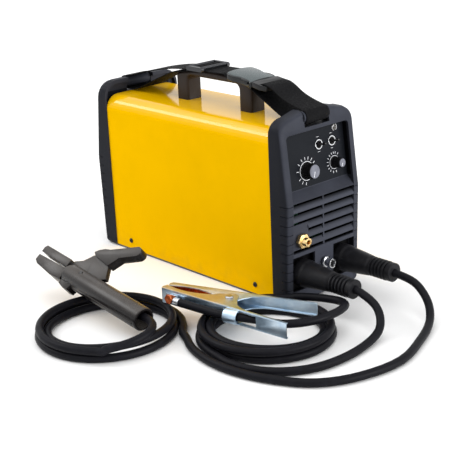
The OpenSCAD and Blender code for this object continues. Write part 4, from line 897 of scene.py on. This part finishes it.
def knob(node, at, r, high):
    """Ribbed body drawn up from a toothed disc, with a turned skirt and shaft; it holds the cap."""
    rib, taper, chamfer, lowest, sunk, cap_gap = 0.45, 0.8, 0.3, 2.0, 1.4, 1.55
    bm = bmesh.new()
    ring = bmesh.ops.create_circle(bm, cap_ends=True, segments=2 * round(r * 3.2),
                                   radius=r * MM)["verts"]
    for i, v in enumerate(ring):
        v.co *= 1 - (rib / r if i % 2 else 0)
        v.co.z = lowest * MM
    up = bmesh.ops.extrude_face_region(bm, geom=[ring[0].link_faces[0]], use_keep_orig=True)
    top = next(g for g in up["geom"] if isinstance(g, bmesh.types.BMFace))
    narrow = (r - taper) / r
    bmesh.ops.scale(bm, vec=(narrow, narrow, 1), verts=top.verts)
    bmesh.ops.translate(bm, vec=(0, 0, (high - lowest - chamfer) * MM), verts=top.verts)
    bmesh.ops.inset_region(bm, faces=[top], thickness=chamfer * MM, depth=0)
    bmesh.ops.translate(bm, vec=(0, 0, chamfer * MM), verts=top.verts)
    bmesh.ops.inset_region(bm, faces=[top], thickness=chamfer * MM, depth=0)
    for v in top.verts:
        v.co.xy = v.co.xy.normalized() * (r - cap_gap) * MM
    well = bmesh.ops.extrude_face_region(bm, geom=[top])["geom"]
    bmesh.ops.translate(bm, vec=(0, 0, -sunk * MM), verts=new_verts(well))
    bmesh.ops.transform(bm, matrix=on_controls(at), verts=bm.verts)
    lathe(bm, [(0.01, -7), (3, -7), (3, 0.6), (r + 1, 0.6), (r + 1, 1.6), (r + 0.4, 2.2),
               (0.01, 2.2)], on_controls(at), 64)
    stand_in(new_object(node + "_ribbed", bm, MATS["knob_black"], 30), node)


def knob_cap(cap, at, r, high):
    """Turned disc in the top of a knob, with a white line on it."""
    rim, pointer_turn = r - 1.7, -20
    bm = bmesh.new()
    lathe(bm, [(0.01, high - 1.1), (rim, high - 1.1), (rim, high + 0.4), (rim - 0.4, high + 0.75),
               (0.01, high + 0.8)], on_controls(at), 64)
    stand_in(new_object(cap + "_disc", bm, MATS["knob_grey"], 30), cap)
    bm = bmesh.new()
    block(bm, (0.9, r - 3.4, 0.5),
          on_controls(at, high + 0.62) @ turned(pointer_turn) @ moved(0, 1.5 - r / 2, 0))
    addition(cap + "_pointer", bm, "white_print", BODY[cap])


# knob, where its strokes start, their length, radii and steps of its ring, stroke angles
DIALS = (
    (BIG_KNOB, 15.4, 4.0, (12.4, 13.3), 64,
     (174, 142, 117, 95, 74, 52, 31, 9, -13, -35, -101, -124, -147)),
    (SMALL_KNOB, 12.0, 2.8, (8.8, 9.5), 48,
     (149, 129, 108, 91, 75, 52, 170, -170, -150, -130, -105, -80)))


def dial_print():
    """Plain strokes and a ring round each knob, and dashes by the toggles."""
    stroke, dash, ink = 0.85, (4.2, 0.5), 0.12
    bm = bmesh.new()
    for at, start, length, (inner, outer), steps, angles in DIALS:
        for a in angles:
            block(bm, (length, stroke, ink),
                  on_controls(at, ink) @ turned(a) @ moved(start + length / 2, 0, 0))
        lathe(bm, [(inner, 0.06), (outer, 0.06), (outer, 0.2), (inner, 0.2)],
              on_controls(at), steps)
    for x, s in TOGGLES:
        for d in (-10.4, 10.4):
            block(bm, (*dash, ink), on_controls((x, s + d), ink))
    addition("dial_strokes", bm, "white_print", "machine")


def toggle_rings():
    """Chrome ring of each toggle switch, and the black nut and bush inside it."""
    bm = bmesh.new()
    for at in TOGGLES:
        lathe(bm, [(5.4, 0.3), (7.1, 0.3), (7.1, 1.2), (6.8, 1.7), (5.7, 1.7), (5.4, 1.4)],
              on_controls(at))
    stand_in(new_object("toggle_bushes", bm, MATS["bright_chrome"], 30), "toggle_bushings")
    bm = bmesh.new()
    for at in TOGGLES:
        lathe(bm, [(3.2, -7), (4, -7), (4, 0.3), (5.35, 0.3), (5.35, 1.3), (4, 1.3), (4, 3.4),
                   (3.7, 3.8), (3.2, 3.6)], on_controls(at))
    addition("toggle_washers", bm, "lever_black", "machine")


def lens_ring():
    """Bright ring round the indicator."""
    bm = bmesh.new()
    lathe(bm, [(4.1, 0.06), (5.0, 0.06), (4.9, 0.9), (4.5, 1.2), (4.1, 0.9)], on_controls(LENS), 40)
    addition("indicator_ring", bm, "bright_chrome", "machine")


def holder_spring():
    """The coil spring under the lever, on a mesh of its own."""
    ob = stand_in(new_object("lever_spring", merged("holder_spring"), MATS["bright_steel"], 50),
                  "holder_spring")
    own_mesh(ob)


# ---- stage

CAM_AT = Vector((-1.0949, -1.2375, 0.6212))
CAM_FWD = Vector((0.6296, 0.7046, -0.3275)).normalized()
CAM_RIGHT = Vector((0.7348, -0.6769, -0.0438))
FOCAL_PIXELS, PICTURE_PIXELS, SENSOR = 1152.47, 458, 36.0
FLOOR_DROP = 0.0003


def soft_sun(name, toward, level, spread):
    """Even light from one direction; level is what a face square to it receives."""
    li = bpy.data.lights.new(name, "SUN")
    li.energy = math.pi * level
    li.angle = math.radians(spread)
    ob = bpy.data.objects.new(name, li)
    ob.rotation_euler = (-Vector(toward)).to_track_quat("-Z", "Y").to_euler()
    bpy.context.scene.collection.objects.link(ob)


def camera():
    """The camera, at the angle and with the lens that the machine is shown from."""
    cam = bpy.data.cameras.new("camera")
    cam.sensor_width = SENSOR
    cam.lens = SENSOR * FOCAL_PIXELS / PICTURE_PIXELS
    cam.clip_end = 50
    ob = bpy.data.objects.new("camera", cam)
    right = (CAM_RIGHT - CAM_FWD * CAM_RIGHT.dot(CAM_FWD)).normalized()
    up = right.cross(CAM_FWD)
    ob.matrix_world = Matrix(((right.x, up.x, -CAM_FWD.x, CAM_AT.x),
                              (right.y, up.y, -CAM_FWD.y, CAM_AT.y),
                              (right.z, up.z, -CAM_FWD.z, CAM_AT.z), (0, 0, 0, 1)))
    bpy.context.scene.collection.objects.link(ob)
    bpy.context.scene.camera = ob


def surroundings(fill):
    """A world that lights at the level of fill and is seen, and mirrored, as white."""
    world = bpy.data.worlds.new("studio")
    bpy.context.scene.world = world
    world.use_nodes = True
    tree = Tree(world.node_tree)
    rays = tree.node("ShaderNodeLightPath").outputs
    seen = Val(tree.tree, rays["Is Camera Ray"])
    for ray in ("Is Glossy Ray", "Is Transmission Ray"):
        seen = seen.max(Val(tree.tree, rays[ray]))
    back = tree.tree.nodes["Background"]
    tree.link(tree.mix((fill, fill, fill), (1, 1, 1), seen), back.inputs["Color"])
    back.inputs["Strength"].default_value = 1.0


def build_stage(levels):
    """Camera, surroundings, floor and lights."""
    bpy.context.scene.view_settings.view_transform = "Standard"
    camera()
    surroundings(levels.fill)
    bm = bmesh.new()
    bmesh.ops.create_grid(bm, x_segments=1, y_segments=1, size=6.0,
                          matrix=Matrix.Translation((0, 0, -FLOOR_DROP)))
    white = patchy("floor_white", (0.96, 0.96, 0.96), 0.8, (3, 2), (0.955, 0.955, 0.955),
                   (0.965, 0.965, 0.965), (0.3, 0.7), spec=0.05)
    new_object("floor", bm, white.mat)
    soft_sun("front", (0.30, -0.94, 0.10), levels.front, 50)
    soft_sun("top", (-0.30, 0.10, 0.95), levels.top, 80)
    soft_sun("back", (-0.33, 0.70, 0.63), levels.back, 25)


# ---- add-on

class WelderColors(bpy.types.PropertyGroup):
    """Colours of the large surfaces"""
    paint: bpy.props.FloatVectorProperty(
        name="Paint", description="Powder coat of the cover", subtype="COLOR", size=3,
        default=(0.87, 0.485, 0.0003), min=0, max=1)
    panel: bpy.props.FloatVectorProperty(
        name="Panels", description="Moulded end panels", subtype="COLOR", size=3,
        default=(0.032, 0.0345, 0.045), min=0, max=1)
    webbing: bpy.props.FloatVectorProperty(
        name="Webbing", description="Woven strap", subtype="COLOR", size=3,
        default=(0.0055, 0.0055, 0.0062), min=0, max=1)
    cable: bpy.props.FloatVectorProperty(
        name="Cables", description="Sheath of the welding cables", subtype="COLOR", size=3,
        default=(0.0085, 0.0085, 0.0112), min=0, max=1)


class WelderSizes(bpy.types.PropertyGroup):
    """Sizes of the pieces made here"""
    strap_width: bpy.props.FloatProperty(
        name="Strap width", description="Width of the webbing",
        default=0.044, min=0.0, unit="LENGTH")
    strap_thick: bpy.props.FloatProperty(
        name="Strap thickness", description="Thickness of the webbing",
        default=0.0017, min=0.0, unit="LENGTH")
    big_knob: bpy.props.FloatProperty(
        name="Large knob", description="Radius of the current knob",
        default=0.011, min=0.0, unit="LENGTH")
    small_knob: bpy.props.FloatProperty(
        name="Small knob", description="Radius of the function knob",
        default=0.0075, min=0.0, unit="LENGTH")
    knob_high: bpy.props.FloatProperty(
        name="Knob height", description="Height of the knobs above the recess floor",
        default=0.015, min=0.0, unit="LENGTH")
    steel_edge: bpy.props.FloatProperty(
        name="Steel edge", description="Rounding of pressed steel",
        default=0.00035, min=0.0, precision=5, unit="LENGTH")
    grip_edge: bpy.props.FloatProperty(
        name="Holder edge", description="Rounding of the electrode holder's mouldings",
        default=0.0009, min=0.0, precision=5, unit="LENGTH")
    buckle_edge: bpy.props.FloatProperty(
        name="Buckle edge", description="Rounding of the buckle's plug and prongs",
        default=0.0005, min=0.0, precision=5, unit="LENGTH")
    fitting_edge: bpy.props.FloatProperty(
        name="Fitting edge", description="Rounding of the gas fitting and remote socket",
        default=0.0003, min=0.0, precision=5, unit="LENGTH")


class WelderStage(bpy.types.PropertyGroup):
    """Levels of the lights"""
    fill: bpy.props.FloatProperty(
        name="Fill", description="Brightness of the surrounding light",
        default=0.66, min=0.0, max=2.0, subtype="FACTOR")
    front: bpy.props.FloatProperty(
        name="Front", description="Level of the light on the front",
        default=1.2, min=0.0, max=2.0, subtype="FACTOR")
    top: bpy.props.FloatProperty(
        name="Top", description="Level of the light from above",
        default=0.45, min=0.0, max=2.0, subtype="FACTOR")
    back: bpy.props.FloatProperty(
        name="Back", description="Level of the light along the upper bend",
        default=0.2, min=0.0, max=2.0, subtype="FACTOR")


GROUPS = {"welder_colors": WelderColors, "welder_sizes": WelderSizes, "welder_stage": WelderStage}


def in_mm(*names):
    """Sizes from the panel as plain millimetres, clear of single-precision tails."""
    return [round(getattr(bpy.context.scene.welder_sizes, n) / MM, 4) for n in names]


def soften_all(nodes, radius):
    """Round the edges of several nodes."""
    for n in nodes:
        soften(n, radius)


class WELDER_OT_stage(bpy.types.Operator):
    """Camera, soft lights, white surroundings and floor"""
    bl_idname = "welder.stage"
    bl_label = "Stage"

    def execute(self, context):
        build_stage(context.scene.welder_stage)
        return {"FINISHED"}


class WELDER_OT_case(bpy.types.Operator):
    """Materials of every CAD piece: case, inner parts and fittings"""
    bl_idname = "welder.case"
    bl_label = "Case and inner parts"

    def execute(self, context):
        MATS.update(make_materials(context.scene.welder_colors))
        clothe_nodes()
        return {"FINISHED"}


class WELDER_OT_front_panel(bpy.types.Operator):
    """Front moulding with its corners drawn down and its edges rounded"""
    bl_idname = "welder.front_panel"
    bl_label = "Front panel"

    def execute(self, context):
        front_panel()
        return {"FINISHED"}


class WELDER_OT_handle(bpy.types.Operator):
    """Carry handle"""
    bl_idname = "welder.handle"
    bl_label = "Handle"

    def execute(self, context):
        handle()
        return {"FINISHED"}


class WELDER_OT_strap(bpy.types.Operator):
    """Both lengths of shoulder strap webbing"""
    bl_idname = "welder.strap"
    bl_label = "Strap"

    def execute(self, context):
        width, thick = in_mm("strap_width", "strap_thick")
        webbing("strap_band_rear", REAR_PATH, width, thick, "strap_rear_webbing")
        webbing("strap_band_front", FRONT_PATH, width, thick, "strap_front_webbing")
        return {"FINISHED"}


class WELDER_OT_buckle(bpy.types.Operator):
    """Side-release buckle: crowned shell, plug and prongs"""
    bl_idname = "welder.buckle"
    bl_label = "Buckle"

    def execute(self, context):
        buckle_socket()
        soften_all(("buckle_plug", "buckle_prong_left", "buckle_prong_right"),
                   *in_mm("buckle_edge"))
        return {"FINISHED"}


class WELDER_OT_knobs(bpy.types.Operator):
    """Ribbed knobs, with white lines on their caps"""
    bl_idname = "welder.knobs"
    bl_label = "Knobs"

    def execute(self, context):
        big, small, high = in_mm("big_knob", "small_knob", "knob_high")
        knob("current_knob", BIG_KNOB, big, high)
        knob("function_knob", SMALL_KNOB, small, high)
        knob_cap("current_knob_cap", BIG_KNOB, big, high)
        knob_cap("function_knob_cap", SMALL_KNOB, small, high)
        return {"FINISHED"}


class WELDER_OT_dials(bpy.types.Operator):
    """Plain printed strokes and the ring round the indicator"""
    bl_idname = "welder.dials"
    bl_label = "Dials"

    def execute(self, context):
        dial_print()
        lens_ring()
        return {"FINISHED"}


class WELDER_OT_toggles(bpy.types.Operator):
    """Chrome rings, nuts and bushes of the toggle switches"""
    bl_idname = "welder.toggles"
    bl_label = "Toggles"

    def execute(self, context):
        toggle_rings()
        return {"FINISHED"}


class WELDER_OT_fittings(bpy.types.Operator):
    """Gas fitting and remote socket with broken edges"""
    bl_idname = "welder.fittings"
    bl_label = "Fittings"

    def execute(self, context):
        soften_all(("gas_outlet_fitting", "remote_socket_shell"),
                   *in_mm("fitting_edge"))
        return {"FINISHED"}


class WELDER_OT_cables(bpy.types.Operator):
    """Both welding cables, from plug through coil to tool"""
    bl_idname = "welder.cables"
    bl_label = "Cables"

    def execute(self, context):
        make_cord("electrode_welding_cable", electrode_route(),
                  ("electrode_cable", "electrode_cable_coil", "electrode_cable_tail"))
        make_cord("earth_welding_cable", earth_route(),
                  ("earth_cable", "earth_cable_coil", "earth_cable_tail"))
        return {"FINISHED"}


class WELDER_OT_holder(bpy.types.Operator):
    """Electrode holder with rounded mouldings and its spring"""
    bl_idname = "welder.holder"
    bl_label = "Electrode holder"

    def execute(self, context):
        soften_all(("holder_barrel", "holder_lower_jaw", "holder_lever"),
                   *in_mm("grip_edge"))
        holder_spring()
        return {"FINISHED"}


class WELDER_OT_clamp(bpy.types.Operator):
    """Earth clamp with the soft edges of pressed steel"""
    bl_idname = "welder.clamp"
    bl_label = "Earth clamp"

    def execute(self, context):
        soften_all(("clamp_fixed_half", "clamp_moving_half", "clamp_cable_lug", "clamp_bolt"),
                   *in_mm("steel_edge"))
        return {"FINISHED"}


class WELDER_PT_panel(bpy.types.Panel):
    """Sizes, colours and levels, and the steps that build the machine"""
    bl_idname = "WELDER_PT_panel"
    bl_label = "Welder"
    bl_space_type = "VIEW_3D"
    bl_region_type = "UI"
    bl_category = "Welder"

    def draw(self, context):
        for name, group in GROUPS.items():
            for key in group.__annotations__:
                self.layout.prop(getattr(context.scene, name), key)
        for c in OPERATORS:
            self.layout.operator(c.bl_idname)


# in building order: the cables come last
OPERATORS = (
    WELDER_OT_stage, WELDER_OT_case, WELDER_OT_front_panel, WELDER_OT_handle, WELDER_OT_strap,
    WELDER_OT_buckle, WELDER_OT_knobs, WELDER_OT_dials, WELDER_OT_toggles, WELDER_OT_fittings,
    WELDER_OT_holder, WELDER_OT_clamp, WELDER_OT_cables)
CLASSES = (*GROUPS.values(), *OPERATORS, WELDER_PT_panel)


def register():
    """Make the classes and their settings known to Blender."""
    for c in CLASSES:
        bpy.utils.register_class(c)
    for name, group in GROUPS.items():
        setattr(bpy.types.Scene, name, bpy.props.PointerProperty(type=group))


def unregister():
    """Take them away again."""
    for name in GROUPS:
        delattr(bpy.types.Scene, name)
    for c in reversed(CLASSES):
        bpy.utils.unregister_class(c)


def main():
    """Build the machine step by step."""
    register()
    for c in OPERATORS:
        group, name = c.bl_idname.split(".")
        getattr(getattr(bpy.ops, group), name)()
    bpy.context.view_layer.update()


if __name__ == "__main__":
    main()
